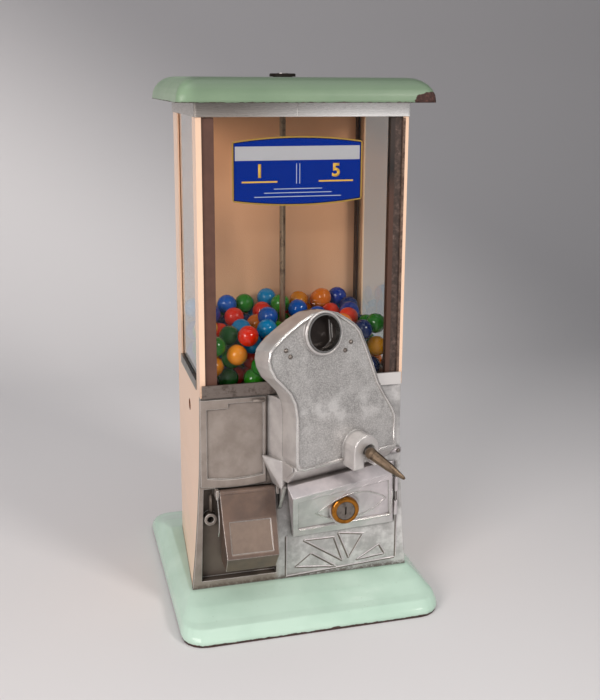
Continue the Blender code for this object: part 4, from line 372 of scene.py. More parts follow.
lidLow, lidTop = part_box("lid")
baseChip = ((0.0135, -0.109, 0.0006), (0.0046, 0.004, 0.0026))  # centre and radii, metres
lidChip = ((lidTop.x - 0.006, lidLow.y + 0.003, lidLow.z + 0.0012), (0.0125, 0.010, 0.0062))
lidFrontShade = {  # where the painted shade on the front begins and ends along each axis
    "side": (lidLow.x + 0.003, lidLow.x + 0.016), "front": (lidLow.y + 0.017, lidLow.y + 0.035),
    "rise": (lidLow.z + 0.002, lidLow.z + 0.017),
}
dress(porcelainEnamel("porcelainEnamelBase", ("#c2dccc", "#b5d1c0"), 0.05, 0.0011, [baseChip]), "base_pan")
dress(porcelainEnamel("porcelainEnamelLid", ("#8aa285", "#7d967a"), 0.3, lidLow.z - 0.0007, [lidChip],
                      lidFrontShade), "lid")

cabinetSizes = {  # metres
    "inSide": 0.0771, "inBack": 0.0491, "inFront": -0.0605, "insideShadeFade": (0.2, 0.38),
    "hole": (-0.0102, 0.1527), "holeFade": (0.0042, 0.0052),
    "frontFade": (-0.0612, -0.0585), "seamFade": (0.0205, 0.0262), "lowFade": (0.12, 0.2),
    "worn": (0.07, 0.0759), "window": (0.1795, 0.3755),
}


def bakedEnamel():
    # Stove enamel sprayed on sheet steel: even satin peach, deeper inside by painted shade that changes with
    # height, rust creeping in at cut edges
    material, tree, shader, place = startMaterial("bakedEnamelPeach")
    size = cabinetSizes
    x, y, z = axes(tree, place)
    tone = mixed(tree, noise(tree, place, 60, 3), "#f2d0b6", "#e8c3a6")
    # painted shade: the inside of the cabinet is darker, and changes with height
    inside = times(tree, under(tree, magnitude(tree, x), size["inSide"]),
                   under(tree, y, size["inBack"]), over(tree, y, size["inFront"]))
    tone = mixed(tree, inside, tone, mixed(tree, between(tree, z, *size["insideShadeFade"]), "#cd9e7f", "#eaa67b"))
    grime = between(tree, noise(tree, place, 3.5, 5, 0.65), 0.62, 0.75)
    tone = mixed(tree, times(tree, grime, 0.15), tone, "#9c7d66")
    front = fading(tree, y, *size["frontFade"])
    worn = times(tree, front, over(tree, x, size["worn"][0]), under(tree, x, size["worn"][1]),
                 over(tree, z, size["window"][0]), under(tree, z, size["window"][1]))
    bare = mixed(tree, between(tree, noise(tree, place, 3.2, 5, 0.7), 0.35, 0.65), "#4a382f", "#7d695c")
    tone = mixed(tree, worn, tone, bare)
    low = times(tree, front, fading(tree, z, *size["lowFade"]))
    edge = most(tree, fading(tree, z, *size["seamFade"]), low)
    rust = times(tree, edge, between(tree, noise(tree, place, 2.2, 4, 0.7), 0.34, 0.5))
    rust = most(tree, rust, fading(tree, distance(tree, y, z, size["hole"]), *size["holeFade"]))
    rusty = ramp(tree, noise(tree, place, 1.2, 3), [(0.3, "#4e2c1e"), (0.7, "#8f5634")])
    setInputs(tree, shader, {
        "Base Color": mixed(tree, rust, tone, rusty), "Roughness": plus(tree, 0.28, times(tree, rust, 0.5)),
        "Normal": bumped(tree, noise(tree, place, 0.9, 2), 0.06, 0.0002)})
    return material


dress(bakedEnamel(), "cabinet_shell")
print("stage: enamels")


# Cast and rolled metals

housingSizes = {  # metres and degrees, as in the solids
    "place": (-0.0143, -0.0964, 0.0), "yaw": 18.0, "lean": 7.0, "bend": 0.1645, "bottom": 0.1227,
    "width": 0.092, "height": 0.1164, "rim": 0.0015, "bead": 0.0014, "sunk": 0.0009, "spread": 0.4,
    "entry": (0.0271, 0.2231), "boreRadius": 0.0146, "boreDepth": 0.002,
    "fieldIn": (0.0004, 0.0007), "fieldOut": (0.0009, 0.0012),
    "bendHighlightIn": (-0.014, -0.002), "bendHighlightOut": (0.003, 0.015),
}
housingOutline = (  # shares of its width and height, round the face
    (0.0, 0.063), (0.018, 0.02), (0.072, 0.0), (1.0, 0.017), (0.989, 0.248), (0.955, 0.305),
    (0.912, 0.359), (0.875, 0.405), (0.818, 0.491), (0.766, 0.618), (0.715, 0.735), (0.663, 0.841),
    (0.62, 0.88), (0.558, 0.92), (0.446, 0.975), (0.352, 0.997), (0.276, 1.0), (0.209, 0.991),
    (0.085, 0.951), (-0.059, 0.887), (-0.153, 0.836), (-0.201, 0.799), (-0.22, 0.744), (-0.212, 0.691),
    (-0.173, 0.625), (-0.107, 0.57), (-0.048, 0.516), (-0.009, 0.449), (0.0, 0.359),
)


def sandyField(tree, place, tone, height):
    # The sunk field keeps the grain of the moulding sand, 0.9 mm, with pale clouds, brighter along its bend by
    # a painted highlight
    size = housingSizes
    turn = (0, 0, radians(size["yaw"]))
    values = {"Vector": place, "Location": size["place"], "Rotation": turn}
    x, y, z = axes(tree, addNode(tree, "ShaderNodeMapping", values, vector_type="TEXTURE").outputs[0])
    above = minus(tree, z, size["bend"])
    depth = minus(tree, y, times(tree, most(tree, above, 0.0), tan(radians(size["lean"]))))
    field = times(tree, between(tree, depth, *size["fieldIn"]), fading(tree, depth, *size["fieldOut"]))
    coarse = noise(tree, place, 0.9, 3, 0.7)
    # painted highlight: the clouds are brighter along the bend
    worn = times(tree, between(tree, above, *size["bendHighlightIn"]), fading(tree, above, *size["bendHighlightOut"]))
    clouds = times(tree, between(tree, noise(tree, place, 13, 3, 0.6), 0.4, 0.66),
                   plus(tree, 0.4, times(tree, worn, 0.6)))
    grain = mixed(tree, between(tree, coarse, 0.38, 0.66), "#939190", "#cac8c6")
    grain = mixed(tree, times(tree, clouds, 0.6), grain, "#f0eeec")
    tone = mixed(tree, times(tree, field, 0.85), tone, grain)
    # painted shade deep in the coin bore
    inBore = times(tree, under(tree, distance(tree, x, z, size["entry"]), size["boreRadius"]),
                   over(tree, depth, size["boreDepth"]))
    tone = mixed(tree, inBore, tone, "#2b2421")
    return tone, plus(tree, height, times(tree, coarse, field, 1.5))


panelSizes = {  # metres: where the clean right panel begins, the foot's grime, and the bay behind the flap, darkened by painted shade
    "right": (-0.0225, -0.0175), "foot": (0.0215, 0.0255),
    "bayRight": -0.0202, "bayFront": -0.0592, "bayTop": 0.102,
}


def rubbedPanel(tree, place, tone, height):
    # The lower right panel, cleaner and cooler than the hand-soiled left side
    size = panelSizes
    x, y, z = axes(tree, place)
    clean = mixed(tree, between(tree, noise(tree, place, 11, 4, 0.65), 0.35, 0.7), "#adabaa", "#d8d6d5")
    pits = between(tree, noise(tree, place, 1.5, 4, 0.7), 0.6, 0.72)
    clean = mixed(tree, times(tree, pits, 0.5), clean, "#8f8b84")
    tone = mixed(tree, between(tree, x, *size["right"]), tone, clean)
    # painted shade in the bay behind the flap
    bay = times(tree, under(tree, x, size["bayRight"]), over(tree, y, size["bayFront"]),
                under(tree, z, size["bayTop"]))
    tone = mixed(tree, times(tree, bay, 0.75), tone, "#5d5248")
    grime = between(tree, noise(tree, place, 3, 4, 0.7), 0.38, 0.55)
    foot = times(tree, fading(tree, z, *size["foot"]), grime)
    return mixed(tree, times(tree, foot, 0.75), tone, "#5b4b41"), height


flapField = {  # metres: where the pressed-in field begins and ends
    "left": (-0.0604, -0.0598), "right": (-0.0286, -0.028), "low": (0.057, 0.0577), "top": (0.0792, 0.0799),
}


def heldPanel(tree, place, tone, height):
    # The flap's framed field, rubbed paler by hands than the metal round it
    size = flapField
    x, _, z = axes(tree, place)
    inField = times(tree, between(tree, z, *size["low"]), fading(tree, z, *size["top"]),
                    between(tree, x, *size["left"]), fading(tree, x, *size["right"]))
    rubbed = mixed(tree, noise(tree, place, 4, 4, 0.6), "#75655a", "#8c7b6f")
    return mixed(tree, times(tree, inField, 0.8), tone, rubbed), height


def castMetal(name, tones, stain, roughness, metallic, detail=None, softened=0.0011):
    # Sand-cast aluminium: grey with a fine grain, darker in its hollows with grime and painted shade, paler
    # along its edges with wear and a painted highlight
    material, tree, shader, place = startMaterial(name)
    soft, edges = edgeShare(tree, softened)
    tone = mixed(tree, between(tree, noise(tree, place, 16, 4, 0.6), 0.3, 0.7), *tones)
    height = times(tree, noise(tree, place, 0.6, 3, 0.65), 0.5)
    if detail:
        tone, height = detail(tree, place, tone, height)
    # grime and painted shade: darker where the surface is enclosed, in the stain colour
    hollow = addNode(tree, "ShaderNodeAmbientOcclusion", {"Distance": 0.006}, samples=6).outputs["AO"]
    grimeAndShade = fading(tree, hollow, 0.3, 0.88)
    tone = mixed(tree, times(tree, grimeAndShade, 0.8), tone, stain)
    # edges: wear and a painted highlight make them paler and smoother
    rough = minus(tree, plus(tree, roughness, times(tree, grimeAndShade, 0.25)), times(tree, edges, 0.12))
    setInputs(tree, shader, {
        "Base Color": mixed(tree, times(tree, edges, 0.42), tone, "#f6f4f1"),
        "Roughness": plus(tree, rough, times(tree, noise(tree, place, 7, 3), 0.12)),
        "Normal": bumped(tree, height, 0.5, 0.00035, soft), "Metallic": metallic})
    return material


even = (1, 1, 1)  # no lines, the same along every axis


def rolledMetal(name, tones, stretch, roughness, stain=None, metallic=1.0, highlightEnd=None):
    # Rolled, drawn or turned metal: fine lines along one way, with soft dull patches, and a painted highlight
    # towards one end where asked
    material, tree, shader, place = startMaterial(name)
    lines = addNode(tree, "ShaderNodeMapping", {"Vector": place, "Scale": stretch}, vector_type="POINT")
    brushed = noise(tree, lines.outputs[0], 0.6, 3, 0.6)
    tone = mixed(tree, brushed, *tones)
    if stain:
        patch = between(tree, noise(tree, place, 5, 5, 0.7), 0.48, 0.68)
        tone = mixed(tree, times(tree, patch, 0.7), tone, stain)
    if highlightEnd:  # a painted highlight: where it begins and ends along X, in metres, and its colour
        begin, end, colour = highlightEnd
        tone = mixed(tree, between(tree, axes(tree, place)[0], begin, end), tone, colour)
    setInputs(tree, shader, {
        "Base Color": tone, "Roughness": plus(tree, roughness, times(tree, brushed, 0.15)),
        "Normal": bumped(tree, brushed, 0.1, 0.0001), "Metallic": metallic})
    return material


housingMetal = castMetal("sandCastAluminiumHousing", ("#c2bdbb", "#d8d4d1"), "#4b413b", 0.28, 0.55,
                         sandyField, 0.0019)
doorMetal = castMetal("polishedCastAluminium", ("#c3bdbf", "#d9d1d3"), "#5f544d", 0.28, 0.6)
frontMetal = castMetal("dullCastAluminium", ("#8b8078", "#a0958d"), "#352a23", 0.42, 0.5, rubbedPanel)
flapMetal = castMetal("handledCastAluminium", ("#62524a", "#745f53"), "#2c211b", 0.34, 0.5, heldPanel)
rimMetal = castMetal("burnishedAluminium", ("#c9c5c2", "#dedbd8"), "#6a5f58", 0.2, 0.85)
# dark metal for the lines beside the fan's ribs: painted shadow of grooves
grooveShadowMetal = castMetal("paintedGrooveShadow", ("#4d453d", "#6b6258"), "#2c241e", 0.6, 0.2)
# painted highlight: the cornice band pales to white along X, the sill towards its right end
nickel = rolledMetal("nickelPlatedSteel", ("#96908a", "#a39d97"), (0.04, 1, 1), 0.2, metallic=0.35,
                     highlightEnd=(-0.06, 0.05, "#fffefc"))
ringSteel = rolledMetal("polishedRingSteel", ("#b9b6b2", "#dcd9d5"), even, 0.12)
sheetZinc = rolledMetal("zincCoatedSheet", ("#8b8884", "#aaa7a3"), (0.1, 1, 1), 0.38, "#6b625b")
sillSteel = rolledMetal("oiledSillSteel", ("#6b605a", "#8c827b"), (0.1, 1, 1), 0.3, "#4a3f39", 0.8,
                        (0.045, 0.06, "#ece9e6"))
darkSteel = rolledMetal("darkenedStripSteel", ("#3c302b", "#5b4b43"), (1, 1, 0.1), 0.4, "#2a211d", 0.6)
rodSteel = rolledMetal("dulledSteelRod", ("#937661", "#b39880"), (1, 1, 0.05), 0.3, "#553f33", 0.8)
turnedSteel = rolledMetal("turnedSteel", ("#8f8b88", "#b9b5b1"), (1, 1, 0.3), 0.25)
plugSteel = rolledMetal("wornPlugSteel", ("#6f6862", "#958d86"), even, 0.3, "#4f4741")
leverBronze = rolledMetal("wornBronzeLever", ("#5b4c3f", "#86735f"), even, 0.32, "#3c3029", 0.85)
lockBrass = rolledMetal("turnedBrass", ("#955d22", "#bd8138"), even, 0.16, "#744a1d")
bushBronze = rolledMetal("sinteredBronze", ("#8d6f48", "#b39263"), even, 0.4)
# near-white metal for the cornice joint: a painted highlight
jointHighlightMetal = rolledMetal("paintedJointHighlight", ("#e9e6e2", "#f6f4f1"), even, 0.3, metallic=0.2)
lacquer = rolledMetal("blackLacquer", ("#15100e", "#241c19"), even, 0.5, metallic=0.0)
lacquer.node_tree.nodes["Principled BSDF"].inputs["Specular IOR Level"].default_value = 0.12

channelSizes = {"inner": (0.0683, 0.0692), "shade": (0.31, 0.36)}  # metres: inner strip's edge, and its top darkened by painted shade


def rustedChannel():
    # Mild steel channel gone to brown rust: soft and even on the left, mottled in spots of 3 mm on the right,
    # its inner strip darkened towards the top by painted shade
    material, tree, shader, place = startMaterial("rustedSteelChannel")
    size = channelSizes
    x, _, z = axes(tree, place)
    plain = mixed(tree, noise(tree, place, 9, 4, 0.6), "#44291e", "#624033")
    spots = ramp(tree, noise(tree, place, 3.2, 5, 0.7),
                 [(0.3, "#241a15"), (0.5, "#3d2e27"), (0.64, "#594740"), (0.78, "#776860")])
    # painted shade on the right channel's inner strip, darkest near the top
    shade = between(tree, z, *size["shade"])
    inner = ramp(tree, shade, [(0.0, "#4b3024"), (0.6, "#17110f"), (1.0, "#2f241f")])
    mottled = mixed(tree, between(tree, x, *size["inner"]), inner, spots)
    setInputs(tree, shader, {
        "Base Color": mixed(tree, over(tree, x, 0.0), plain, mottled), "Roughness": 0.6,
        "Normal": bumped(tree, noise(tree, place, 1.0, 4, 0.7), 0.3, 0.0002)})
    return material


dress(housingMetal, "coin_housing", "rear_bearing_bracket")
dress(doorMetal, "cash_door")
dress(frontMetal, "front_casting", "gum_wheel")
dress(flapMetal, "chute_flap")
dress(nickel, "cornice_band")
dress(ringSteel, "coin_entry_ring")
dress(sillSteel, "window_sill")
dress(sheetZinc, "side_rail_left", "side_rail_right", "hopper_pan", "wheel_plate", "ball_guard", "cash_box",
      "delivery_chute", "coin_slide", "rod_strap")
dress(rodSteel, "tie_rod")
dress(turnedSteel, "handle_shaft", "coin_wheel", "drive_pinion", "crown_gear", "rod_nut", "cash_lock_cam",
      "lid_lock_plug", "lid_lock_cam", "door_hinge_pin", "flap_hinge_pin")
dress(plugSteel, "cash_lock_plug")
dress(leverBronze, "handle_lever")
dress(lockBrass, "cash_lock_barrel")
dress(bushBronze, "handle_bush")
dress(lacquer, "lid_lock_barrel")
dress(rustedChannel(), "front_channel_left", "front_channel_right")
print("stage: metals")


# Glass and label

def sheetGlass(name, bend):
    # Drawn sheet glass: clear, faintly green, smooth with a few dusty smears
    material, tree, shader, place = startMaterial(name)
    smears = between(tree, noise(tree, place, 22, 4, 0.7), 0.55, 0.8)
    setInputs(tree, shader, {"Base Color": linear("#f8fbf9"), "Transmission Weight": 1.0, "IOR": bend,
                             "Roughness": times(tree, smears, 0.05)})
    clearWay = addNode(tree, "ShaderNodeBsdfTransparent", {"Color": linear("#f8faf9")})
    rays = addNode(tree, "ShaderNodeLightPath").outputs
    mirrored = times(tree, rays["Is Glossy Ray"], minus(tree, 1.0, rays["Is Transmission Ray"]))
    passing = most(tree, rays["Is Shadow Ray"], most(tree, rays["Is Diffuse Ray"], mirrored))
    both = addNode(tree, "ShaderNodeMixShader", {0: passing, 1: shader.outputs[0], 2: clearWay.outputs[0]})
    tree.links.new(both.outputs[0], tree.nodes["Material Output"].inputs["Surface"])
    return material


dress(sheetGlass("drawnSheetGlassFront", 1.2), "front_glass")  # a weak mirror, as if it faced a dark room
dress(sheetGlass("drawnSheetGlassSides", 1.5), "left_glass", "right_glass")

labelSizes = {  # mm, from the label's middle
    "halfWide": 48.4, "halfHigh": 21.3, "bow": 3.6, "corner": 1.8, "steps": 8, "border": 1.0, "lining": 1.7,
    "thickness": 0.2, "ink": 0.04, "bandTop": 3.4, "bandBottom": 13.4, "bandSide": 2.1,
    "ruleGap": 1.2, "ruleWidth": 0.5, "ruleTop": 5.5, "ruleBottom": -9.0,
    "digit": 9.4, "digitX": 28.5, "digitLow": -4.0, "barWide": 26.0, "barHigh": 1.1, "barZ": -7.4,
    "lineHigh": 0.55, "lines": ((-12.6, 36.0), (-15.4, 50.4), (-18.2, 64.8)),  # height and width of each
}
digitForm = {"cap": 0.72, "bold": 0.045, "weld": 1e-6}  # height over type size, boldness over height, metres


def flatPlate(outline, front, thickness):  # an upright plate from an outline in X and Z
    form = bmesh.new()
    near = [form.verts.new((x, front, z)) for x, z in outline]
    far = [form.verts.new((x, front + thickness, z)) for x, z in outline]
    form.faces.new(near)
    form.faces.new(list(reversed(far)))
    for i in range(len(outline)):
        j = (i + 1) % len(outline)
        form.faces.new((near[i], far[i], far[j], near[j]))
    bmesh.ops.recalc_face_normals(form, faces=form.faces)
    return meshFrom(form, "plate")


def labelEdge():  # an oblong with round corners, its level edges bowed out, in mm
    wide, high, bow = labelSizes["halfWide"], labelSizes["halfHigh"], labelSizes["bow"]
    corner, steps = labelSizes["corner"], labelSizes["steps"]

    def swell(x):
        return bow * (1 - (x / wide) ** 2)

    points = []
    for quarter, (sideX, sideZ) in enumerate(((1, 1), (-1, 1), (-1, -1), (1, -1))):
        for step in range(steps + 1):
            angle = pi / 2 * (quarter + step / steps)
            x = sideX * (wide - corner) + corner * cos(angle)
            points.append((x, sideZ * (high - corner + swell(x)) + corner * sin(angle)))
        if quarter in (0, 2):  # the bowed edge to the next corner
            for step in range(1, steps * 2):
                x = sideX * (wide - corner) * (1 - step / steps)
                points.append((x, sideZ * (high + swell(x))))
    return points


def printedFilm(middle):
    # Printed transfer on the glass: blue field, thin gold border, pale heading band and a double white rule
    material, tree, shader, place = startMaterial("printedTransferFilm")
    size = {key: value / 1000 for key, value in labelSizes.items() if not isinstance(value, tuple)}
    x, _, z = axes(tree, place)
    up = minus(tree, z, middle[1])
    aside = magnitude(tree, minus(tree, x, middle[0]))
    squared = sums(tree, "POWER", sums(tree, "DIVIDE", aside, size["halfWide"]), 2.0)
    rise = times(tree, minus(tree, 1.0, squared), size["bow"])
    fromSide = minus(tree, size["halfWide"], aside)
    fromTop = minus(tree, plus(tree, rise, size["halfHigh"]), magnitude(tree, up))
    fromEdge = sums(tree, "MINIMUM", fromSide, fromTop)
    tone = mixed(tree, over(tree, fromEdge, size["border"]), "#a5823f", "#0a1b45")
    tone = mixed(tree, over(tree, fromEdge, size["lining"]), tone, "#042784")
    fromFlat = minus(tree, size["halfHigh"], up)
    inBand = times(tree, over(tree, fromSide, size["bandSide"]), over(tree, fromFlat, size["bandTop"]),
                   under(tree, fromFlat, size["bandBottom"]))
    tone = mixed(tree, inBand, tone, "#b2aeb5")
    fromRule = magnitude(tree, minus(tree, aside, size["ruleGap"]))
    inRule = times(tree, under(tree, fromRule, size["ruleWidth"] / 2), under(tree, up, size["ruleTop"]),
                   over(tree, up, size["ruleBottom"]))
    tone = mixed(tree, inRule, tone, "#aab3c8")
    worn = times(tree, between(tree, noise(tree, place, 2.5, 4, 0.7), 0.66, 0.72), 0.2)
    setInputs(tree, shader, {"Base Color": mixed(tree, worn, tone, "#2c417c"), "Roughness": 0.3,
                             "Specular IOR Level": 0.04})
    return material


def printedInk(name, colour):
    # Screen-printed ink: opaque and satin, with a few rubbed specks
    material, tree, shader, place = startMaterial(name)
    worn = times(tree, between(tree, noise(tree, place, 1.2, 3, 0.7), 0.62, 0.7), 0.35)
    setInputs(tree, shader, {"Base Color": mixed(tree, worn, colour, "#6f6a70"), "Roughness": 0.35})
    return material


def digitMesh(text, height, x, z, front):  # a plain number as a thin mesh
    curve = bpy.data.curves.new("digit" + text, "FONT")
    curve.body, curve.size, curve.align_x = text, height / digitForm["cap"], "CENTER"
    curve.offset = height * digitForm["bold"]
    holder = inScene("digitSource", curve)
    bpy.context.view_layer.update()
    mesh = bpy.data.meshes.new_from_object(holder.evaluated_get(bpy.context.evaluated_depsgraph_get()))
    bpy.data.objects.remove(holder)
    mesh.transform(Matrix.Translation((x, front, z)) @ Matrix.Rotation(pi / 2, 4, "X"))
    form = bmesh.new()
    form.from_mesh(mesh)
    bmesh.ops.remove_doubles(form, verts=form.verts, dist=digitForm["weld"])
    made = bmesh.ops.extrude_face_region(form, geom=form.faces[:])
    moved = [v for v in made["geom"] if isinstance(v, bmesh.types.BMVert)]
    bmesh.ops.translate(form, verts=moved, vec=(0, -labelSizes["ink"] / 1000, 0))
    bmesh.ops.recalc_face_normals(form, faces=form.faces)
    return meshFrom(form, "digit")


def joinMeshes(name, meshes):
    form = bmesh.new()
    for mesh in meshes:
        form.from_mesh(mesh)
    return meshFrom(form, name)


def makeLabel():
    size = labelSizes
    low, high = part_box("glass_label")
    middle, ink = ((low.x + high.x) / 2, (low.z + high.z) / 2), size["ink"] / 1000

    def fromMiddle(x, z):  # mm to metres
        return middle[0] + x / 1000, middle[1] + z / 1000

    def oblong(x, z, wide, tall):
        signs = ((-1, -1), (1, -1), (1, 1), (-1, 1))
        corners = [fromMiddle(x + i * wide / 2, z + j * tall / 2) for i, j in signs]
        return flatPlate(corners, low.y - ink, ink)

    plate = flatPlate([fromMiddle(x, z) for x, z in labelEdge()], low.y, size["thickness"] / 1000)
    film = newPiece("labelFilm", plate, printedFilm(middle), "machine")
    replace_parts(film, "glass_label")
    digits = []
    for text, side in (("1", -1), ("5", 1)):
        x, z = fromMiddle(side * size["digitX"], size["digitLow"])
        digits.append(digitMesh(text, size["digit"] / 1000, x, z, low.y))
        digits.append(oblong(side * size["digitX"], size["barZ"], size["barWide"], size["barHigh"]))
    yellow, white = printedInk("printedInkYellow", "#e0ad3e"), printedInk("printedInkWhite", "#aab3c8")
    newPiece("labelNumbers", joinMeshes("labelNumbers", digits), yellow, "machine")
    rules = [oblong(0, z, wide, size["lineHigh"]) for z, wide in size["lines"]]
    newPiece("labelRules", joinMeshes("labelRules", rules), white, "machine")


makeLabel()
print("stage: glass and label")


# Gumballs, settled by the same rule as the solids

ballSizes = {  # metres, counts, seeds and radians
    "radius": 0.008, "gap": 0.0003, "count": 178, "tries": 260, "seed": 11, "rod": 0.0024,
    "frontTop": 0.222, "backTop": 0.238, "wheelTop": 0.1643, "guard": 0.0027, "rodY": 0.005,
    "panTop": 0.1785, "panWell": 0.165, "wellRadius": 0.0416,
    "half": 0.07825, "front": -0.0535, "back": 0.0503, "sheet": 0.0015, "glass": 0.0025, "rim": 0.0045,
    "frontWall": -0.0617, "far": 9, "faces": 5, "turn": 6.28, "turnSeed": 5, "colourSeed": 4,
}


def floorHeight(x, y):  # of a ball's centre on the hopper's floor
    size = ballSizes
    reachX = size["half"] - size["sheet"] - size["gap"] - size["rim"]
    lowY = size["frontWall"] + size["sheet"] + size["gap"] + size["rim"] - size["rodY"]
    highY = size["back"] - size["sheet"] - size["gap"] - size["rim"] - size["rodY"]
    angle = atan2(y - size["rodY"], x)
    runX = reachX / abs(cos(angle)) if abs(cos(angle)) > size["gap"] else size["far"]
    runY = (highY if sin(angle) > 0 else lowY) / sin(angle) if abs(sin(angle)) > size["gap"] else size["far"]
    edge = max(min(runX, runY), size["wellRadius"] + size["gap"])
    run = edge - size["wellRadius"]
    along = hypot(x, y - size["rodY"])
    base = size["wheelTop"] + size["guard"] + size["radius"] + size["gap"]
    if run < size["radius"] * 2:
        inside = along < size["wellRadius"] - size["radius"] - size["gap"]
        return base if inside else size["panTop"] + size["radius"] + size["gap"]
    slope = (size["panTop"] - size["panWell"]) / run
    steep = size["radius"] * sqrt(1 + slope ** 2) + size["gap"] * 2
    return max(size["panWell"] + (along - size["wellRadius"]) * slope + steep, base)


def pileLimit(y):  # the heap rises from the front pane to the back
    size = ballSizes
    share = (y - size["front"]) / (size["back"] - size["front"])
    return size["frontTop"] + (size["backTop"] - size["frontTop"]) * share


def settleBalls():  # each ball takes the lowest of many random places
    size = ballSizes
    chance = np.random.default_rng(size["seed"])
    half = size["half"] - size["sheet"] - size["glass"] - size["radius"] - size["gap"] * 3
    lowY = size["front"] + size["radius"] + size["gap"]
    highY = size["back"] - size["sheet"] - size["radius"] - size["gap"] * 2
    apart = 2 * size["radius"] + size["gap"]
    rodApart = size["rod"] + size["radius"] + size["gap"] * 2
    centres = np.empty((0, 3))
    while len(centres) < size["count"]:
        best = None
        for x, y in chance.uniform((-half, lowY), (half, highY), (size["tries"], 2)):
            if hypot(x, y - size["rodY"]) < rodApart:
                continue
            height = floorHeight(x, y)
            if len(centres):
                flat = np.hypot(centres[:, 0] - x, centres[:, 1] - y)
                near = flat < apart
                if near.any():
                    height = max(height, (centres[near, 2] + np.sqrt(apart ** 2 - flat[near] ** 2)).max())
            if height > pileLimit(y) - size["radius"]:
                continue
            if best is None or height < best[2]:
                best = (x, y, height)
        if best is None:
            break
        centres = np.vstack([centres, best])
    return centres


def ballTree(material):
    # One ball on each point, a cube of small faces pushed out round, so that all faces are alike
    tree, given, result = startTree("ballOnPoint", [("Radius", "Float"), ("Faces", "Int")])
    counts = {"Vertices " + axis: given["Faces"] for axis in "XYZ"}
    cube = addNode(tree, "GeometryNodeMeshCube", {"Size": (2, 2, 2), **counts}).outputs["Mesh"]
    spot = addNode(tree, "GeometryNodeInputPosition").outputs[0]
    unit = addNode(tree, "ShaderNodeVectorMath", {0: spot}, operation="NORMALIZE").outputs[0]
    sized = addNode(tree, "ShaderNodeVectorMath", {0: unit, "Scale": given["Radius"]}, operation="SCALE")
    ball = addNode(tree, "GeometryNodeSetPosition", {"Geometry": cube, "Position": sized.outputs[0]}).outputs[0]
    turn = addNode(tree, "FunctionNodeRandomValue", {0: (0, 0, 0), 1: (ballSizes["turn"],) * 3,
                                                     "Seed": ballSizes["turnSeed"]}, data_type="FLOAT_VECTOR")
    placed = addNode(tree, "GeometryNodeInstanceOnPoints", {"Points": given["Geometry"], "Instance": ball,
                                                            "Rotation": turn.outputs[0]}).outputs[0]
    endTree(tree, placed, material, result)
    return tree


def balls(name, mesh, radius, material):  # a ball on each point of the mesh, in one mesh
    return realised(ballTree(material), name, mesh, {"Radius": radius, "Faces": ballSizes["faces"]})


gumColours = (
    "#0a4a9c", "#0575aa", "#0e2a7c", "#091e50", "#1b6c12", "#104c12",
    "#2b7c16", "#de8203", "#e6960c", "#d62d08", "#cc210a", "#de6e08",
)


def gumShell():
    # Panned sugar shell: waxed and glossy, slightly cloudy, each ball one of a dozen colours
    material, tree, shader, place = startMaterial("waxedSugarShell")
    pick = addNode(tree, "ShaderNodeAttribute", attribute_name="shade").outputs["Fac"]
    tone = ramp(tree, pick, [(i / len(gumColours), colour) for i, colour in enumerate(gumColours)], "CONSTANT")
    cloud = between(tree, noise(tree, place, 5, 4, 0.6), 0.5, 0.85)
    setInputs(tree, shader, {
        "Base Color": mixed(tree, times(tree, cloud, 0.04), tone, "#e6e0d4"),
        "Roughness": plus(tree, 0.08, times(tree, cloud, 0.12)), "IOR": 1.45,
        "Normal": bumped(tree, noise(tree, place, 3, 2), 0.1, 0.0003)})
    return material


def makeGumballs():
    centres = settleBalls()
    mesh = pointMesh("ballCentres", centres)
    shade = mesh.attributes.new("shade", "FLOAT", "POINT")
    picks = np.random.default_rng(ballSizes["colourSeed"]).integers(0, len(gumColours), len(centres))
    shade.data.foreach_set("value", ((picks + 0.5) / len(gumColours)).astype(np.float32))
    material = gumShell()
    pile = balls("gumballPile", mesh, ballSizes["radius"], material)
    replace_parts(newPiece("gumballPile", pile, material, "machine"), "gumballs")
    print("stage: gumballs,", len(centres))


makeGumballs()


# Raised lines and dots on the castings

ribSides = 8  # faces round each line


def ribTree(material):
    tree, given, result = startTree("ribAlongLine", [("Radius", "Float"), ("Sides", "Int")])
    line = addNode(tree, "GeometryNodeMeshToCurve", {"Mesh": given["Geometry"]}).outputs[0]
    ring = addNode(tree, "GeometryNodeCurvePrimitiveCircle", {"Resolution": given["Sides"],
                                                              "Radius": given["Radius"]}).outputs[0]
    body = addNode(tree, "GeometryNodeCurveToMesh", {"Curve": line, "Profile Curve": ring, "Fill Caps": True})
    endTree(tree, body.outputs[0], material, result)
    return tree


def ribs(name, lines, radius, material, body):
    # Round ribs along (points, closed) lines, in one mesh
    points, edges = [], []
    for line, closed in lines:
        first = len(points)
        points += [tuple(point) for point in line]
        edges += [(first + i, first + i + 1) for i in range(len(line) - 1)]
        if closed:
            edges.append((len(points) - 1, first))
    mesh = pointMesh(name + "Line", points, edges)
    rib = realised(ribTree(material), name, mesh, {"Radius": radius, "Sides": ribSides})
    return newPiece(name, rib, material, body)


def inHousing(along, depth, z):  # a point of the housing's own frame, in metres
    x, y = housingSizes["place"][:2]
    yaw = radians(housingSizes["yaw"])
    return Vector((x + along * cos(yaw) - depth * sin(yaw), y + along * sin(yaw) + depth * cos(yaw), z))


def onFace(along, z, sunk):  # a point of the housing's face, upright below its bend and leaning back above
    size = housingSizes
    return inHousing(along, max(z - size["bend"], 0) * tan(radians(size["lean"])) + sunk, z)


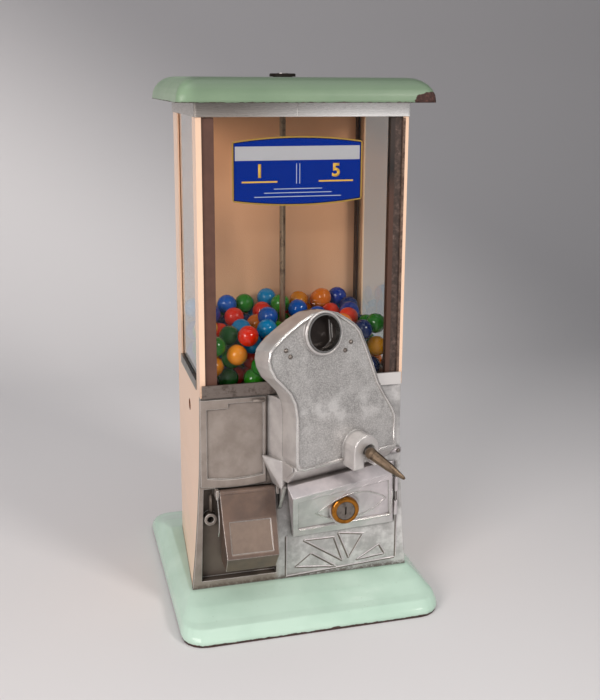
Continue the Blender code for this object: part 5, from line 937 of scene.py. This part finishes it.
def makeFaceRim():  # the smooth rounded rim that frames the sandy field
    size = housingSizes
    corners = [Vector((s * size["width"], size["bottom"] + z * size["height"])) for s, z in housingOutline]
    line = []
    for i, corner in enumerate(corners):
        before = (corner - corners[i - 1]).normalized()
        after = (corners[(i + 1) % len(corners)] - corner).normalized()
        inward = Vector((-before.y - after.y, before.x + after.x)).normalized()
        spread = max(inward.dot(Vector((-before.y, before.x))), size["spread"])
        spot = corner + inward * size["rim"] / spread
        line.append(onFace(spot.x, spot.y, size["sunk"]))
    ribs("faceRim", [(line, True)], size["bead"], rimMetal, "machine")


dotSizes = {  # metres, in the housing's frame
    "dots": ((-0.0048, 0.2144), (-0.0015, 0.2095), (0.0516, 0.2130), (0.0461, 0.2075)),
    "radius": 0.0017, "sunk": 0.0007,
}


def makeFaceDots():  # two pairs of small round bosses beside the coin entry
    size = dotSizes
    mesh = pointMesh("dotPoints", [onFace(x, z, size["sunk"]) for x, z in size["dots"]])
    dots = balls("faceDots", mesh, size["radius"], plugSteel)
    newPiece("faceDots", dots, plugSteel, "machine")


makeFaceRim()
makeFaceDots()


def surfaceOf(name, front):  # gives the function that sets a point on a casting from the front, then sinks it
    mesh = nodes[name].data
    face = BVHTree.FromPolygons([v.co for v in mesh.vertices], [tuple(p.vertices) for p in mesh.polygons])

    def pressed(x, z, sunk):
        hit = face.ray_cast(Vector((x, front, z)), Vector((0, 1, 0)))[0]
        return Vector((x, hit.y + sunk, z))

    return pressed


def laid(pressed, start, end, steps, sunk, aside=(0, 0)):  # an open line over a casting
    points = []
    for i in range(steps + 1):
        x, z = [a + (b - a) * i / steps + c for a, b, c in zip(start, end, aside)]
        points.append(pressed(x, z, sunk))
    return points, False


fanSizes = {  # metres, corners in X and Z on the lower right panel
    "petals": (((0.0018, 0.0511), (0.0264, 0.0510), (0.0336, 0.0302)),
               ((0.0081, 0.0395), (-0.0049, 0.0293), (0.0284, 0.0258)),
               ((0.0298, 0.0542), (0.0388, 0.0319), (0.0502, 0.0511)),
               ((0.0640, 0.0403), (0.0453, 0.0293), (0.0690, 0.0317))),
    "frames": (((-0.0124, 0.0218), (-0.0124, 0.0564)), ((0.0779, 0.0280), (0.0779, 0.0990)),
               ((-0.0124, 0.0222), (0.0779, 0.0274))),
    "rib": 0.0007, "sunk": 0.0003, "aside": (-0.0009, -0.0006), "steps": 6, "clear": 0.03,
}


def makeFan():
    size = fanSizes
    pressed = surfaceOf("front_casting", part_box("front_casting")[0].y - size["clear"])
    lines = [(petal[i], petal[(i + 1) % 3]) for petal in size["petals"] for i in range(3)]
    lines += size["frames"]
    light = [laid(pressed, start, end, size["steps"], size["sunk"]) for start, end in lines]
    # painted shadow: a dark rib set aside from each light one
    dark = [laid(pressed, start, end, size["steps"], size["sunk"], size["aside"]) for start, end in lines]
    ribs("fanRelief", light, size["rib"], doorMetal, "machine")
    ribs("fanGrooveShadow", dark, size["rib"], grooveShadowMetal, "machine")


makeFan()

doorSizes = {  # metres: the pointed oval round the lock and the raised beads at the panel's foot and side
    "half": 0.0300, "rise": 0.0122, "steps": 15, "rib": 0.0007, "sunk": 0.00022, "middle": (0.0362, 0.0812),
    "slope": 0.03, "front": -0.2, "bead": 0.0009, "beadSunk": 0.0003, "beadSteps": 8,
    "beads": (((-0.0035, 0.0632), (0.0705, 0.0665)), ((0.0708, 0.0670), (0.0716, 0.0985))),
}


def makeDoorRelief():
    size = doorSizes
    pressed = surfaceOf("cash_door", size["front"])
    line = []
    for side in (1, -1):
        for step in range(size["steps"]):
            share = step / size["steps"] * 2 - 1
            along = side * share * size["half"]
            z = size["middle"][1] + side * size["rise"] * (1 - share ** 2) + along * size["slope"]
            line.append(pressed(size["middle"][0] + along, z, size["sunk"]))
    ribs("doorSpindle", [(line, True)], size["rib"], rimMetal, "cash_door")
    beads = [laid(pressed, start, end, size["beadSteps"], size["beadSunk"]) for start, end in size["beads"]]
    ribs("doorBeads", beads, size["bead"], rimMetal, "cash_door")


makeDoorRelief()
print("stage: relief")


# Small trims

def roundedBox(low, high, bevel):
    form = bmesh.new()
    bmesh.ops.create_cube(form, size=1)
    middle = [(a + b) / 2 for a, b in zip(low, high)]
    for vert in form.verts:
        vert.co = Vector([m + c * (b - a) for m, c, a, b in zip(middle, vert.co, low, high)])
    bmesh.ops.bevel(form, geom=form.edges[:], offset=bevel, segments=2, affect="EDGES")
    bmesh.ops.recalc_face_normals(form, faces=form.faces)
    mesh = meshFrom(form, "roundedBox")
    mesh.shade_smooth()
    return mesh


glassRailSizes = {  # metres
    "inner": 0.0733, "outer": 0.0737, "low": 0.1795, "high": 0.3755, "bevel": 0.00012,
    "front": (-0.0531, -0.0440), "back": (0.0370, 0.0478),
}


def makeGlassRails():  # the steel strips that hold the side panes at both ends
    size = glassRailSizes
    for label, side in (("Left", -1), ("Right", 1)):
        left, right = sorted((side * size["inner"], side * size["outer"]))
        meshes = [roundedBox((left, low, size["low"]), (right, high, size["high"]), size["bevel"])
                  for low, high in (size["front"], size["back"])]
        rail = joinMeshes("glassRail" + label, meshes)
        newPiece("glassRail" + label, rail, darkSteel, "machine")


trimSizes = {  # metres; each bar has its low corner, its high corner and its rounding
    "jointSides": (-0.0061, -0.0055), "jointDepth": (-0.00025, 0.0004), "jointEnds": 0.0003,
    "jointBevel": 0.0001,
    "footBar": ((inHousing(0.0905, 0.008, 0.1195).x, -0.0640, 0.1172), (0.0790, -0.0612, 0.1222), 0.0009),
    "lugPeg": ((-0.0722, -0.0590, 0.0822), (-0.0692, -0.0558, 0.0960), 0.0008),
    "plateBar": ((-0.0400, -0.0661, 0.1688), (-0.0300, -0.0640, 0.1712), 0.0006),
    "screw": (0.0762, -0.0640, 0.1197), "screwRadius": 0.0017, "springRadius": 0.00055,
    "spring": ((-0.0672, -0.0655, 0.1003), (-0.0671, -0.0672, 0.0930), (-0.0669, -0.0700, 0.0860),
               (-0.0668, -0.0712, 0.0790), (-0.0668, -0.0700, 0.0715), (-0.0668, -0.0670, 0.0660)),
}


def makeTrims():
    size = trimSizes
    low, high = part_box("cornice_band")
    # the cornice joint is a pale strip standing for a painted highlight
    (left, right), (front, back), ends = size["jointSides"], size["jointDepth"], size["jointEnds"]
    joint = roundedBox((left, low.y + front, low.z + ends), (right, low.y + back, high.z - ends),
                       size["jointBevel"])
    newPiece("corniceJoint", joint, jointHighlightMetal, "machine")
    # bar and screw to the right of the housing's foot
    newPiece("footBar", roundedBox(*size["footBar"]), doorMetal, "machine")
    screw = balls("footScrew", pointMesh("screwPoint", [size["screw"]]), size["screwRadius"], plugSteel)
    newPiece("footScrew", screw, plugSteel, "machine")
    # peg over the left lug, and the spring wire beside the flap
    newPiece("lugPeg", roundedBox(*size["lugPeg"]), frontMetal, "machine")
    ribs("flapSpring", [(size["spring"], False)], size["springRadius"], ringSteel, "machine")
    # raised bar at the plate's top right corner
    newPiece("plateBar", roundedBox(*size["plateBar"]), frontMetal, "machine")


makeGlassRails()
makeTrims()
print("stage: trims")
